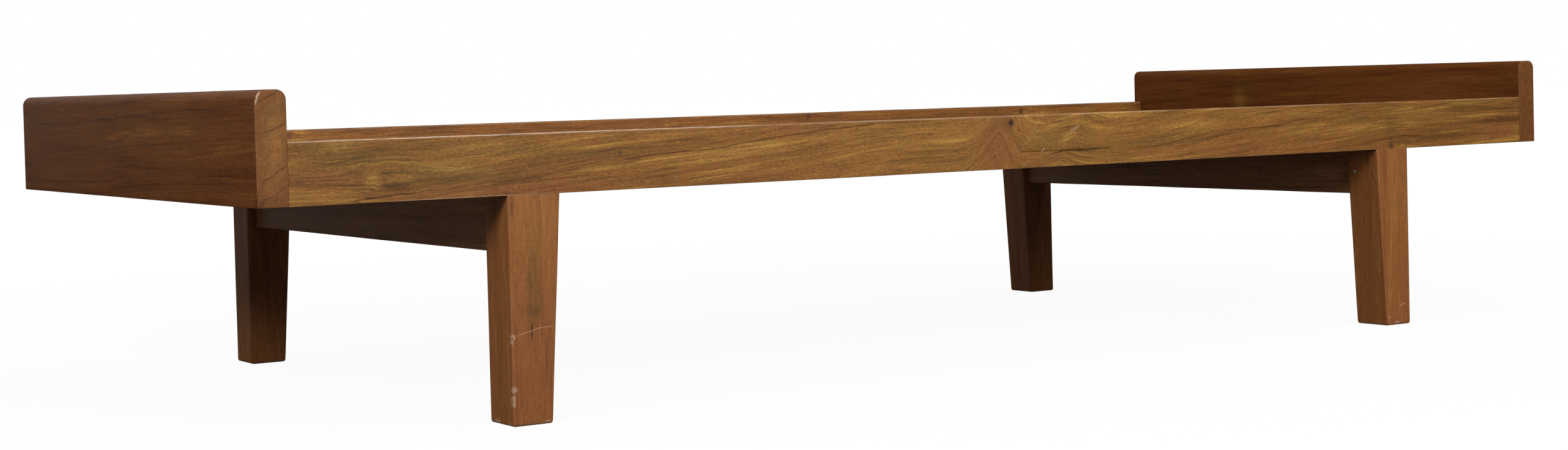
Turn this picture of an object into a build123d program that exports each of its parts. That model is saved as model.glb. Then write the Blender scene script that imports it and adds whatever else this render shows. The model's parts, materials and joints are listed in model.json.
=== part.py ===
"""Low teak bed frame: two end boards, side rails, four tapered legs, two cross rails and a slatted base.

Frame: +X along the bed, +Y across it, +Z up. The origin is on the floor, under the middle of the bed.
"Left" is the -X end, and "front" is the -Y side. All sizes are in millimetres.
"""

import math
import os

from build123d import *

# ---------------------------------------------------------------- overall
bed_length = 2000.0  # over the outer faces of the end boards
bed_width = 838.0  # over the outer faces of the side rails
floor_to_rail = 252.0  # floor to the underside of rails and boards

# ---------------------------------------------------------------- end boards
board_thickness = 34.0
board_height = 121.0
board_top_radius = 11.0  # hand-rounded long top edges
board_edge_chamfer = 1.6  # arris taken off the bottom edges and the ends

# ---------------------------------------------------------------- side rails
rail_thickness = 18.0
rail_height = 67.0
rail_edge_radius = 2.5
rail_tenon_thickness = 9.0
rail_tenon_shoulder = 9.0  # above and below the tenon
rail_tenon_length = 20.0

# Stepped scarf that joins the two lengths of the front rail
scarf_centre = 17.0  # x of the middle of the slanting face
scarf_slope_run = 42.0  # how far the slanting face runs along the rail
scarf_tongue_height = 20.0  # lower tongue, above the rail's bottom edge
scarf_tongue_length = 154.0  # from the foot of the slanting face
scarf_tongue_rake = 14.0  # the tongue's own end is cut on the slant too
glue_line = 0.1

# ---------------------------------------------------------------- legs
leg_inset = 282.0  # end of the bed to the leg's upright outer face
leg_top_width = 64.0  # along the bed, under the rail
leg_foot_width = 48.0  # along the bed, at the floor
leg_depth = 56.0  # across the bed
leg_edge_chamfer = 1.2
leg_foot_chamfer = 3.0
steep = 0.9  # an edge that climbs at least this share of its length is upright

# ---------------------------------------------------------------- cross rails
cross_rail_height = 64.0
cross_rail_thickness = 43.0
cross_rail_edge_chamfer = 1.2
cross_tenon_thickness = 14.0
cross_tenon_shoulder = 10.0
cross_tenon_length = 36.0
pin_setback = 12.5  # pin to the leg's inner side face
pin_radius = 2.5
pin_stand_out = 0.8  # the round end that shows on the leg
pin_bite = 4.0  # how far a pin goes past the tenon

# ---------------------------------------------------------------- slatted base
mattress_recess = 25.0  # rail top down to the slats
slat_width = 100.0
slat_thickness = 15.0
slat_least_gap = 12.0  # between slats, and beside the end boards
slat_edge_chamfer = 1.5
slat_end_clearance = 2.0
ledger_width = 22.0
ledger_height = 24.0
housing_depth = 4.0  # the slats drop into housings cut in the ledgers
housing_clearance = 0.5  # each side of a slat

# ---------------------------------------------------------------- fits and fasteners
joint_clearance = 0.1  # each side of a tenon
mortise_end_gap = 1.0  # beyond a tenon's end
screw_clearance = 0.05  # round a screw's shank or a pin
screw_radius = 2.5
screw_head_radius = 4.8
screw_length = 50.0
screw_spacing = 32.0  # between the two screws in a leg
head_sink = 0.3  # screw heads sit this far below the wood

# ---------------------------------------------------------------- derived places
half_length = bed_length / 2
half_width = bed_width / 2
rail_top = floor_to_rail + rail_height
inner_half_length = half_length - board_thickness
inner_half_width = half_width - rail_thickness
leg_outer_x = half_length - leg_inset
leg_inner_x = leg_outer_x - leg_top_width
leg_centre_x = (leg_outer_x + leg_inner_x) / 2
leg_inner_y = half_width - leg_depth
leg_taper = (leg_top_width - leg_foot_width) / floor_to_rail
slat_top = rail_top - mattress_recess
slat_bottom = slat_top - slat_thickness
tongue_top = slat_bottom  # the legs' tongues carry the slats that pass over them
cross_rail_centre_z = floor_to_rail - cross_rail_height / 2
slat_count = math.floor((2 * inner_half_length - slat_least_gap) / (slat_width + slat_least_gap))
slat_pitch = (2 * inner_half_length + slat_width) / (slat_count + 1)
slat_half_length = inner_half_width - slat_end_clearance
ledger_centre_y = inner_half_width - ledger_width / 2
ledger_top = slat_bottom + housing_depth
screw_z = (floor_to_rail + tongue_top) / 2
rail_tenon_height = rail_height - 2 * rail_tenon_shoulder
rail_centre_y = half_width - rail_thickness / 2
rail_centre_z = floor_to_rail + rail_height / 2
cross_tenon_height = cross_rail_height - 2 * cross_tenon_shoulder
scarf_head_x = scarf_centre + scarf_slope_run / 2
scarf_foot_x = scarf_centre - scarf_slope_run / 2
scarf_seam_z = floor_to_rail + scarf_tongue_height
tongue_end_x = scarf_foot_x + scarf_tongue_length

LEFT, RIGHT = -1, 1
FRONT, BACK = -1, 1


def leg_inner_face(z):
    """Distance from the bed's middle to a leg's tapered inner face at height z, under the rail."""
    return leg_inner_x + leg_taper * (floor_to_rail - z)


def along(direction, x, y, z):
    """A place whose local Z points along `direction`."""
    return Plane(origin=(x, y, z), z_dir=direction).location


def save(builder, name):
    """Label a finished piece and write it as its own STEP file."""
    builder.part.label = name
    export_step(builder.part, f"parts/{name}.step")


def turned(outline):
    """A round solid from half its outline, turned about the Z axis."""
    with BuildPart(mode=Mode.PRIVATE) as made:
        with BuildSketch(Plane.XZ):
            with BuildLine():
                Polyline(*outline, close=True)
            make_face()
        revolve(axis=Axis.Z)
    return made.part


head_height = screw_head_radius - screw_radius
point_height = 2 * screw_radius
screw = turned(
    [
        (0, 0),
        (screw_head_radius, 0),
        (screw_radius, -head_height),
        (screw_radius, point_height - screw_length),
        (0, -screw_length),
    ]
)
hole_radius = screw_radius + screw_clearance
hole_mouth_radius = screw_head_radius + screw_clearance + head_sink
hole_length = screw_length + head_sink + mortise_end_gap
screw_hole = turned(
    [
        (0, 0),
        (hole_mouth_radius, 0),
        (hole_radius, hole_radius - hole_mouth_radius),
        (hole_radius, -hole_length),
        (0, -hole_length),
    ]
)

slat_xs = [(k - (slat_count - 1) / 2) * slat_pitch for k in range(slat_count)]


def screw_places(end, side, depth=0.0):
    """Two screws that go out through a leg's tongue into the rail, sunk by `depth` below its face."""
    face_y = side * (leg_inner_y + depth)
    xs = [end * leg_centre_x + s * screw_spacing / 2 for s in (LEFT, RIGHT)]
    return [along((0, -side, 0), x, face_y, screw_z) for x in xs]


def drill(places):
    """Cut one screw hole at each place from the piece being built."""
    with Locations(*places):
        add(screw_hole, mode=Mode.SUBTRACT)


# ---------------------------------------------------------------- end boards
def end_board(end):
    """One end board, with a mortise near each end of its inner face for the side rails."""
    centre_x = end * (half_length - board_thickness / 2)
    with BuildPart() as board:
        with BuildSketch(Plane.XZ.offset(half_width)):
            with Locations((centre_x, floor_to_rail)):
                Rectangle(board_thickness, board_height, align=(Align.CENTER, Align.MIN))
            top_corners = vertices().group_by(Axis.Y)[-1]
            fillet(top_corners, radius=board_top_radius)
        extrude(amount=-bed_width)
        bottom_edges = edges().filter_by(Axis.Y).group_by(Axis.Z)[0]
        end_edges = faces().filter_by(Axis.Y).edges()
        chamfer(bottom_edges + end_edges, length=board_edge_chamfer)
        mortise_depth = rail_tenon_length + mortise_end_gap
        mortise_x = end * (inner_half_length + mortise_depth / 2)
        mortises = [(mortise_x, side * rail_centre_y, rail_centre_z) for side in (FRONT, BACK)]
        with Locations(*mortises):
            Box(
                mortise_depth,
                rail_tenon_thickness + 2 * joint_clearance,
                rail_tenon_height + 2 * joint_clearance,
                mode=Mode.SUBTRACT,
            )
    return board


# ---------------------------------------------------------------- side rails
def side_rail(side, outline, tenon_ends):
    """A rail, or one length of it, from its outline seen from the front.

    It has a tenon at each end named, and blind holes for the screws that come through the legs.
    """
    with BuildPart() as rail:
        with BuildSketch(Plane.XZ.offset(-side * half_width)):
            with BuildLine():
                Polyline(*outline, close=True)
            make_face()
        extrude(amount=side * rail_thickness)
        long_edges = edges().filter_by(Axis.X)
        top_edges = long_edges.group_by(Axis.Z)[-1]
        bottom_edges = long_edges.group_by(Axis.Z)[0]
        fillet(top_edges + bottom_edges, radius=rail_edge_radius)
        for end in tenon_ends:
            with Locations((end * inner_half_length, side * rail_centre_y, rail_centre_z)):
                Box(
                    rail_tenon_length,
                    rail_tenon_thickness,
                    rail_tenon_height,
                    align=(Align.MIN if end == RIGHT else Align.MAX, Align.CENTER, Align.CENTER),
                )
        drill(screw_places(LEFT, side) + screw_places(RIGHT, side))
    return rail


back_rail_outline = [
    (-inner_half_length, floor_to_rail),
    (inner_half_length, floor_to_rail),
    (inner_half_length, rail_top),
    (-inner_half_length, rail_top),
]
front_rail_long_outline = [
    (-inner_half_length, floor_to_rail),
    (tongue_end_x + scarf_tongue_rake, floor_to_rail),
    (tongue_end_x, scarf_seam_z),
    (scarf_foot_x, scarf_seam_z),
    (scarf_head_x, rail_top),
    (-inner_half_length, rail_top),
]
front_rail_short_outline = [
    (inner_half_length, floor_to_rail),
    (inner_half_length, rail_top),
    (scarf_head_x + glue_line, rail_top),
    (scarf_foot_x + glue_line, scarf_seam_z + glue_line),
    (tongue_end_x + glue_line, scarf_seam_z + glue_line),
    (tongue_end_x + scarf_tongue_rake + glue_line, floor_to_rail),
]


# ---------------------------------------------------------------- legs
def corner_leg(end, side):
    """A leg with an upright outer face and a tapered inner one.

    Its top is notched to carry the rail on a shoulder, and the tongue behind the notch is screwed to
    the rail. A mortise in its inner side takes the cross rail's tenon, and a steel pin locks that tenon.
    """
    with BuildPart() as leg:
        with BuildSketch(Plane.XZ.offset(-side * half_width)):
            with BuildLine():
                Polyline(
                    (end * leg_outer_x, 0),
                    (end * leg_inner_face(0), 0),
                    (end * leg_inner_x, floor_to_rail),
                    (end * leg_inner_x, tongue_top),
                    (end * leg_outer_x, tongue_top),
                    close=True,
                )
            make_face()
        extrude(amount=side * leg_depth)
        foot_edges = faces().sort_by(Axis.Z)[0].edges()
        chamfer(foot_edges, length=leg_foot_chamfer)
        upright_edges = edges().filter_by(lambda edge: abs(edge.tangent_at(0.5).Z) > steep)
        chamfer(upright_edges, length=leg_edge_chamfer)
        with Locations((end * leg_centre_x, side * half_width, floor_to_rail)):
            Box(
                2 * leg_top_width,
                2 * rail_thickness,
                rail_height,
                align=(Align.CENTER, Align.CENTER, Align.MIN),
                mode=Mode.SUBTRACT,
            )
        mortise_depth = cross_tenon_length + mortise_end_gap
        mortise_y = side * (leg_inner_y + mortise_depth / 2)
        with Locations((end * leg_centre_x, mortise_y, cross_rail_centre_z)):
            Box(
                cross_tenon_thickness + 2 * joint_clearance,
                mortise_depth,
                cross_tenon_height + 2 * joint_clearance,
                mode=Mode.SUBTRACT,
            )
        drill(screw_places(end, side))
        with Locations(pin_place(end, side)):
            Cylinder(
                pin_radius + screw_clearance,
                2 * (pin_length + mortise_end_gap),
                mode=Mode.SUBTRACT,
            )
    return leg


# ---------------------------------------------------------------- cross rails
pin_y = leg_inner_y + pin_setback
pin_start_x = leg_inner_face(cross_rail_centre_z)
pin_length = leg_centre_x + cross_tenon_thickness / 2 + pin_bite - pin_start_x


def pin_place(end, side):
    """Where a pin enters, square to a leg's tapered inner face; local Z points out of the wood."""
    return along((-end, 0, -leg_taper), end * pin_start_x, side * pin_y, cross_rail_centre_z)


def cross_rail(end):
    """The rail that ties the two legs at one end together, tenoned into both."""
    with BuildPart() as rail:
        with Locations((end * leg_centre_x, 0, cross_rail_centre_z)):
            Box(cross_rail_thickness, 2 * leg_inner_y, cross_rail_height)
        chamfer(edges().filter_by(Axis.Y), length=cross_rail_edge_chamfer)
        with Locations((end * leg_centre_x, 0, cross_rail_centre_z)):
            Box(
                cross_tenon_thickness,
                2 * (leg_inner_y + cross_tenon_length),
                cross_tenon_height,
            )
        with Locations(*[pin_place(end, side) for side in (FRONT, BACK)]):
            Cylinder(
                pin_radius + screw_clearance,
                2 * (pin_length + mortise_end_gap),
                mode=Mode.SUBTRACT,
            )
    return rail


# ---------------------------------------------------------------- slats and ledgers
def slat(x):
    """One slat, dropped into a housing in the ledger at each end."""
    with BuildPart() as board:
        with Locations((x, 0, slat_bottom + slat_thickness / 2)):
            Box(slat_width, 2 * slat_half_length, slat_thickness)
        chamfer(edges().filter_by(Axis.Y), length=slat_edge_chamfer)
    return board


def ledger(side, start_x, end_x):
    """A strip glued inside a side rail, housed for the ends of the slats that it carries."""
    with BuildPart() as strip:
        with Locations(((start_x + end_x) / 2, side * ledger_centre_y, ledger_top)):
            Box(
                end_x - start_x,
                ledger_width,
                ledger_height,
                align=(Align.CENTER, Align.CENTER, Align.MAX),
            )
        with Locations(*[(x, side * ledger_centre_y, ledger_top) for x in slat_xs]):
            Box(
                slat_width + 2 * housing_clearance,
                2 * ledger_width,
                2 * housing_depth,
                mode=Mode.SUBTRACT,
            )
    return strip


# ---------------------------------------------------------------- build and save every piece
os.makedirs("parts", exist_ok=True)

save(end_board(LEFT), "end_board_left")
save(end_board(RIGHT), "end_board_right")
save(side_rail(FRONT, front_rail_long_outline, [LEFT]), "front_rail_long")
save(side_rail(FRONT, front_rail_short_outline, [RIGHT]), "front_rail_short")
save(side_rail(BACK, back_rail_outline, [LEFT, RIGHT]), "back_rail")

for end, end_name in ((LEFT, "left"), (RIGHT, "right")):
    save(cross_rail(end), f"cross_rail_{end_name}")
    for side, side_name in ((FRONT, "front"), (BACK, "back")):
        save(corner_leg(end, side), f"leg_{side_name}_{end_name}")

ledger_spans = {
    "left": (-inner_half_length, -leg_outer_x),
    "middle": (-leg_inner_x, leg_inner_x),
    "right": (leg_outer_x, inner_half_length),
}
for side, side_name in ((FRONT, "front"), (BACK, "back")):
    for span_name, (start_x, end_x) in ledger_spans.items():
        save(ledger(side, start_x, end_x), f"ledger_{side_name}_{span_name}")

for number, x in enumerate(slat_xs, start=1):
    save(slat(x), f"slat_{number:02d}")

with BuildPart() as leg_screws:
    for end in (LEFT, RIGHT):
        for side in (FRONT, BACK):
            with Locations(*screw_places(end, side, head_sink)):
                add(screw)
save(leg_screws, "leg_screws")

with BuildPart() as tenon_pins:
    with Locations(*[pin_place(end, side) for end in (LEFT, RIGHT) for side in (FRONT, BACK)]):
        with Locations((0, 0, pin_stand_out)):
            Cylinder(
                pin_radius,
                pin_length + pin_stand_out,
                align=(Align.CENTER, Align.CENTER, Align.MAX),
            )
save(tenon_pins, "tenon_pins")
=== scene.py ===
"""Dress the low teak bed: hand-worked timber with its own grain, steel fastenings, and a plain studio.

Sizes are millimetres in the bed's own frame: +X along it, +Y across it, +Z up, with the origin on the
floor under its middle. Meshes are made in metres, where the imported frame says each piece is.
"""

import json
import logging
import math
from collections.abc import Callable, Iterable, Sequence
from dataclasses import dataclass, replace
from enum import Enum

import bmesh
import bpy
import numpy as np
from mathutils import Matrix, Vector, noise

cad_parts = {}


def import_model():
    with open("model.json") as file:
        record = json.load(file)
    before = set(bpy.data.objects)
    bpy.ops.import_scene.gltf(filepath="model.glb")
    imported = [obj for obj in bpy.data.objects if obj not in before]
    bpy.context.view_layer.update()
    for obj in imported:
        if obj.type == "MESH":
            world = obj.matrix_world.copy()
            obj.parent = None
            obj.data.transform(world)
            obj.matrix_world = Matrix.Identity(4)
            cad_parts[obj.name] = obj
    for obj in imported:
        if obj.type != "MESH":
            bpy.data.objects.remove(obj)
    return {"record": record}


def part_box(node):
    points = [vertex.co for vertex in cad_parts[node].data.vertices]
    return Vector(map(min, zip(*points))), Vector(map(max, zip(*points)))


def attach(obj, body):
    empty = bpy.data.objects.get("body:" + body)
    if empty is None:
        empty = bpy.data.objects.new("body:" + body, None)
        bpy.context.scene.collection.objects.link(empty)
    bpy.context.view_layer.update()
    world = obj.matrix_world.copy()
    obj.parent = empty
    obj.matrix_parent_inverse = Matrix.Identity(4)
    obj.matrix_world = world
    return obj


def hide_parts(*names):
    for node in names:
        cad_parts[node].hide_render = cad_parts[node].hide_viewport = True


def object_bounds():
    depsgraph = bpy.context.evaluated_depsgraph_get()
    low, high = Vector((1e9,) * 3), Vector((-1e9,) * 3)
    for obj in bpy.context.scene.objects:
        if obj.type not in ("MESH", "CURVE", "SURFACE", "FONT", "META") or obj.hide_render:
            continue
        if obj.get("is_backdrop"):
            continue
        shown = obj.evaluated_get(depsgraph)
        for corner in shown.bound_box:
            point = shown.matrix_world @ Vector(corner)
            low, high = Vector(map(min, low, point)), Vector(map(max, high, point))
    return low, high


log = logging.getLogger("bed")

MM = 0.001
BODY = "root"
LEGS = ("leg_front_left", "leg_front_right", "leg_back_left", "leg_back_right")

NEAR = 1.0  # millimetres within which an edge counts as being at a face
CREASE = 0.3  # radians between two faces, above which their edge is a corner and not part of a rounding

FAR = 9.0  # half-widths of a line, or radii of a knot, that count as nowhere near it
BESIDE = 7.0  # millimetres from a line to where it is gone
FADE = 2.0  # millimetres over which it goes
ENDS = 0.12  # the share of a line over which each end tapers off
SKIN = 6.0  # how deep below its highest point a face still counts, in millimetres
BURR = 10.0  # millimetres from crinkle to crinkle in burred wood
HAIRPIN = 1.4  # the power that makes the peak of hairpin grain sharper than a bell's
FIGURE_SPREAD = 1.3  # how much further its growth lines show than its fibres climb
PLANE_STROKE = 90.0  # millimetres from dip to dip of the hand plane
PLANE_STEP = 7.3  # from one piece's share of that noise to the next
PLANE_SEED = 1  # any number but 0, which stands for the clock
DRIFT = (260.0, 55.0)  # millimetres between slow drifts of the fibres, along and across them
DRIFT_STEP = 3.1  # from one piece's share of that noise to the next
ELSEWHERE = Vector((9.0, 5.0, 2.0))  # far enough off in the noise to have nothing to do with here
LOG_STEP = np.array([173.0, 61.0, 37.0])  # from one piece to the next in the log, in millimetres

Point = tuple[float, float]
Tree = bpy.types.NodeTree
Socket = bpy.types.NodeSocket
Piece = bpy.types.Object
Solid = bmesh.types.BMesh


class Grain(Enum):
    """Which way the fibres run, as the three axes: along them, across them and in depth."""

    ALONG_BED = (0, 2, 1)
    ACROSS_BED = (1, 2, 0)
    UPRIGHT = (2, 0, 1)


class Side(Enum):
    """A face of a piece: its axis, its direction, and the two axes that a place on it is given in."""

    LEFT = (0, -1, 1, 2)
    FRONT = (1, -1, 0, 2)


class Trace(Enum):
    """What a line on the wood is: a dark growth line, an open crack, or a pale line, which is a scratch in some
    places and a painted highlight along an edge in others.
    """

    STREAK = "streak"
    CRACK = "crack"
    SCRATCH = "scratch"


class Tint(Enum):
    """How a patch of wood differs from the wood round it, as a channel of the tint attribute."""

    OLIVE = 0
    GOLD = 1
    DARK = 2
    RED = 3
    CHIPPED = 4


@dataclass(frozen=True)
class Line:
    """A line on one face of a piece, through a few chosen places.

    Attributes:
        trace: What the line is.
        side: The face that it is on.
        places: Where it goes, in the face's two axes.
        width: How wide it is.
        strength: How much it shows, from 0 to 1.
    """

    trace: Trace
    side: Side
    places: tuple[Point, ...]
    width: float = 1.6
    strength: float = 0.8


@dataclass(frozen=True)
class Patch:
    """A soft-edged patch of tinted wood on one face.

    Attributes:
        tint: How it differs from the wood round it.
        side: The face that it is on.
        at: Its middle.
        reach: How far it goes from there, along and across.
        strength: How much it shows, from 0 to 1.
        tilt: How far it climbs for each millimetre along.
    """

    tint: Tint
    side: Side
    at: Point
    reach: Point
    strength: float = 0.6
    tilt: float = 0.0


@dataclass(frozen=True)
class Knot:
    """A knot, with the fibres bulging round it.

    Attributes:
        side: The face that it is on.
        at: Its middle.
        radius: The radius of its heart.
        reach: How far off the fibres still bulge, along and across.
        heart: How dark its heart is, from 0 to 1.
        bulge: How far the fibres part round it, from 0 to 1.
    """

    side: Side
    at: Point
    radius: float
    reach: Point
    heart: float = 1.0
    bulge: float = 0.8


@dataclass(frozen=True)
class Crotch:
    """Hairpin grain, where a branch left the trunk: the fibres climb to a peak and drop again.

    Attributes:
        side: The face that it is on.
        at: Where the peak is, along the face.
        spread: How wide the hairpin is to each side.
        height: How far the fibres climb.
        lean: How far the peak shifts along for each millimetre up.
        figure: How strongly the growth lines show there, from 0 to 1.
    """

    side: Side
    at: float
    spread: float
    height: float
    lean: float = 0.0
    figure: float = 0.0


@dataclass(frozen=True)
class Curl:
    """Burred wood, whose fibres crinkle over one patch.

    Attributes:
        side: The face that it is on.
        at: Its middle.
        reach: How far it goes from there, along and across.
        depth: How far the fibres stray.
    """

    side: Side
    at: Point
    reach: Point
    depth: float


@dataclass(frozen=True)
class Sweep:
    """Fibres that follow a slow curve, instead of running straight.

    Attributes:
        side: The face that it is on.
        places: Places along the curve, in the face's two axes.
    """

    side: Side
    places: tuple[Point, ...]


Feature = Line | Patch | Knot | Crotch | Curl | Sweep


def linear(hex_colour: str) -> tuple[float, float, float, float]:
    """Turn an sRGB hex colour to the linear one that a shader takes.

    Args:
        hex_colour: Six hex digits, such as "8a5f33".

    Returns:
        Red, green, blue and an alpha of 1.
    """
    parts = [int(hex_colour[i : i + 2], 16) / 255 for i in (0, 2, 4)]
    r, g, b = (c / 12.92 if c <= 0.04045 else ((c + 0.055) / 1.055) ** 2.4 for c in parts)
    return r, g, b, 1.0


def add(tree: Tree, kind: str, links: dict | None = None, **settings) -> bpy.types.Node:
    """Add one node to a tree.

    Args:
        tree: The node tree.
        kind: The node's type, without the "ShaderNode" that they all start with.
        links: What each input takes: a node, for its first output, or any one output, or a plain value.
        settings: Properties of the node itself.

    Returns:
        The new node.
    """
    node = tree.nodes.new("ShaderNode" + kind)
    for name, value in settings.items():
        setattr(node, name, value)
    for socket, value in (links or {}).items():
        if isinstance(value, bpy.types.Node):
            value = value.outputs[0]
        if isinstance(value, Socket):
            tree.links.new(value, node.inputs[socket])
        else:
            node.inputs[socket].default_value = value
    return node


def set_stops(ramp: bpy.types.Node, stops: Sequence[tuple[float, str]]) -> None:
    """Give a colour ramp its stops.

    Args:
        ramp: The ramp node, with the two stops that it starts with.
        stops: Places and hex colours, from low to high.
    """
    elements = ramp.color_ramp.elements
    while len(elements) < len(stops):
        elements.new(0.5)
    for element, (place, colour) in zip(elements, stops):
        element.position = place
        element.color = linear(colour)


def empty_tree(owner: bpy.types.Material | bpy.types.World) -> Tree:
    """Turn on the nodes of a material or a world, and clear them.

    Args:
        owner: The material or world.

    Returns:
        Its empty node tree.
    """
    owner.use_nodes = True
    owner.node_tree.nodes.clear()
    return owner.node_tree


# ---------------------------------------------------------------- finishes
@dataclass(frozen=True)
class Finish:
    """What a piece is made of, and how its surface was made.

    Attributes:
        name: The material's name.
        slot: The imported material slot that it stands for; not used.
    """

    name: str
    slot: str

    def material(self) -> bpy.types.Material:
        """Build the finish as a material, once.

        Returns:
            The material, which every piece with this finish shares.
        """
        known = bpy.data.materials.get(self.name)
        if known:
            return known
        made = bpy.data.materials.new(self.name)
        self._shade(empty_tree(made))
        return made

    def _shade(self, tree: Tree) -> None:
        """Add the finish's own nodes to the material's empty tree."""
        raise NotImplementedError


@dataclass(frozen=True)
class TeakFinish(Finish):
    """Aged teak, planed by hand: open pores, dark growth lines, and a low satin sheen where it is oiled.

    Attributes:
        dark: Its darkest bands.
        usual: Its usual colour.
        bright: Its brightest bands.
        line: Its growth lines and pores.
        contrast: How far the bands part.
        fibre: How much single fibres vary in brightness.
        rings: How strongly the thin growth lines show.
        band_length: How long a band is, in millimetres.
        band_width: How wide a band is, in millimetres.
        roughness: How matt the oiled face is.
        sheen: How strongly it reflects.
        strand: How long the strands of fibre are, in millimetres.
        grit: How long the short flecks and pores are, in millimetres.
        pores: How dark the open pores are.
        flecks: How bright the short light fibres are.
        wear_and_highlight: How far the rounded edges are painted pale, partly as rubbing and partly as a painted
            highlight.
    """

    dark: str
    usual: str
    bright: str
    line: str
    contrast: float = 1.0
    fibre: float = 0.16
    rings: float = 0.4
    band_length: float = 330.0
    band_width: float = 15.0
    roughness: float = 0.5
    sheen: float = 0.22
    strand: float = 60.0
    grit: float = 8.0
    pores: float = 0.5
    flecks: float = 0.0
    wear_and_highlight: float = 0.35

    def _shade(self, tree: Tree) -> None:
        """Add the teak's nodes: its colour from the log outwards, then its gloss and relief.

        Args:
            tree: The material's empty tree.
        """
        grain = add(tree, "Attribute", attribute_name="grain").outputs["Vector"]
        knot = add(tree, "SeparateXYZ", {0: add(tree, "Attribute", attribute_name="knot").outputs["Vector"]})
        colour = self._bands(tree, grain)
        colour = self._tints(tree, grain, colour)
        colour = self._growth_lines(tree, grain, colour, knot.outputs[2])
        colour, fibre = self._fibres(tree, grain, colour)
        colour, hollow = self._marks(tree, grain, colour)
        colour = self._knots(tree, grain, colour, knot)
        colour, worn = self._rub_and_highlight_edges(tree, grain, colour)
        # Fibres stand a little more matt than the wood between them, and a rubbed edge is smoothest.
        matt = {"From Min": 0.3, "From Max": 0.7, "To Min": self.roughness - 0.08, "To Max": self.roughness + 0.08}
        rough = add(tree, "MapRange", {"Value": fibre, **matt})
        rough = add(tree, "Mix", {0: worn, 2: rough, 3: 0.3}, data_type="FLOAT")
        height = add(tree, "Math", {0: fibre, 1: 0.4}, operation="MULTIPLY")
        height = add(tree, "Math", {0: height, 1: hollow}, operation="SUBTRACT")
        bump = add(tree, "Bump", {"Strength": 0.4, "Distance": 0.0004, "Height": height})
        look = {"Base Color": colour, "Roughness": rough, "Normal": bump}
        shader = add(tree, "BsdfPrincipled", {**look, "Specular IOR Level": self.sheen})
        add(tree, "OutputMaterial", {"Surface": shader})

    @staticmethod
    def _drawn_out(tree: Tree, grain: Socket, length: float, width: float, detail: float) -> Socket:
        """Variation drawn out along the fibres.

        Args:
            tree: The material's nodes.
            grain: Grain coordinates in millimetres.
            length: How long a feature is along the fibres, in millimetres.
            width: How wide it is across them.
            detail: Octaves of finer variation.

        Returns:
            A value from 0 to 1.
        """
        shrunk = add(tree, "VectorMath", {0: grain, 1: (1 / length, 1 / width, 1 / width)}, operation="MULTIPLY")
        links = {"Vector": shrunk, "Scale": 1.0, "Detail": detail, "Roughness": 0.55}
        return add(tree, "TexNoise", links).outputs[0]

    def _bands(self, tree: Tree, grain: Socket) -> Socket:
        """Growth bands, from the darkest wood to the brightest.

        Args:
            tree: The material's nodes.
            grain: Grain coordinates in millimetres.

        Returns:
            The wood's colour before its marks.
        """
        broad = self._drawn_out(tree, grain, self.band_length, self.band_width, 2.0)
        narrow = self._drawn_out(tree, grain, self.band_length / 2.6, self.band_width / 5.0, 3.0)
        mixed = add(tree, "Mix", {0: 0.48, 2: broad, 3: narrow}, data_type="FLOAT")
        reach = 0.17 / self.contrast
        spread = add(tree, "MapRange", {"Value": mixed, "From Min": 0.5 - reach, "From Max": 0.5 + reach})
        ramp = add(tree, "ValToRGB", {0: spread})
        set_stops(ramp, [(0.0, self.dark), (0.42, self.usual), (0.62, self.usual), (1.0, self.bright)])
        return ramp.outputs[0]

    def _tints(self, tree: Tree, grain: Socket, colour: Socket) -> Socket:
        """Lay the tinted patches over the bands, broken up along the fibres.

        Args:
            tree: The material's nodes.
            grain: Grain coordinates in millimetres.
            colour: The wood's colour so far.

        Returns:
            The colour with its patches.
        """
        held = add(tree, "Attribute", attribute_name="tint")
        parts = add(tree, "SeparateColor", {0: held.outputs["Color"]})
        shares = [*parts.outputs, held.outputs["Alpha"]]
        broken = self._drawn_out(tree, grain, 60.0, 3.2, 3.0)
        threads = add(tree, "MapRange", {"Value": broken, "From Min": 0.3, "From Max": 0.62, "To Min": 0.15})
        # Sapwood and minerals turn teak olive or golden, and wet or old wood goes dark or red. The dark tint also
        # darkens some faces as a whole, and on the back legs it is painted shade.
        shades = {Tint.OLIVE: "5a4a1c", Tint.GOLD: "b98a42", Tint.DARK: "3c220c", Tint.RED: "8b532e"}
        for kind, shade in shades.items():
            cover = {0: threads, 1: shares[kind.value]}
            share = add(tree, "Math", cover, operation="MULTIPLY", use_clamp=True)
            mix = add(tree, "Mix", {0: share, 6: colour, 7: linear(shade)}, data_type="RGBA")
            colour = mix.outputs[2]
        return colour

    def _growth_lines(self, tree: Tree, grain: Socket, colour: Socket, figure: Socket) -> Socket:
        """Draw the thin growth lines that every board shows, stronger where the grain is figured.

        Args:
            tree: The material's nodes.
            grain: Grain coordinates in millimetres.
            colour: The wood's colour so far.
            figure: How figured the grain is, from 0 to 1.

        Returns:
            The colour with its growth lines.
        """
        # A growth line runs wherever slow noise passes its middle value: about 4 mm apart, as in the log.
        rings = self._drawn_out(tree, grain, 210.0, 3.4, 2.0)
        off = add(tree, "Math", {0: rings, 1: 0.5}, operation="SUBTRACT")
        off = add(tree, "Math", {0: off}, operation="ABSOLUTE")
        thin = {"Value": off, "From Min": 0.004, "From Max": 0.035, "To Min": 1.0, "To Max": 0.0}
        thin = add(tree, "MapRange", thin, interpolation_type="SMOOTHSTEP")
        patchy = self._drawn_out(tree, grain, 90.0, 14.0, 2.0)
        seen = add(tree, "MapRange", {"Value": patchy, "From Min": 0.38, "From Max": 0.68, "To Max": self.rings})
        seen = add(tree, "Math", {0: figure, 1: seen}, operation="ADD")
        share = add(tree, "Math", {0: thin, 1: seen}, operation="MULTIPLY", use_clamp=True)
        mix = add(tree, "Mix", {0: share, 6: colour, 7: linear(self.line)}, data_type="RGBA")
        return mix.outputs[2]

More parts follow.
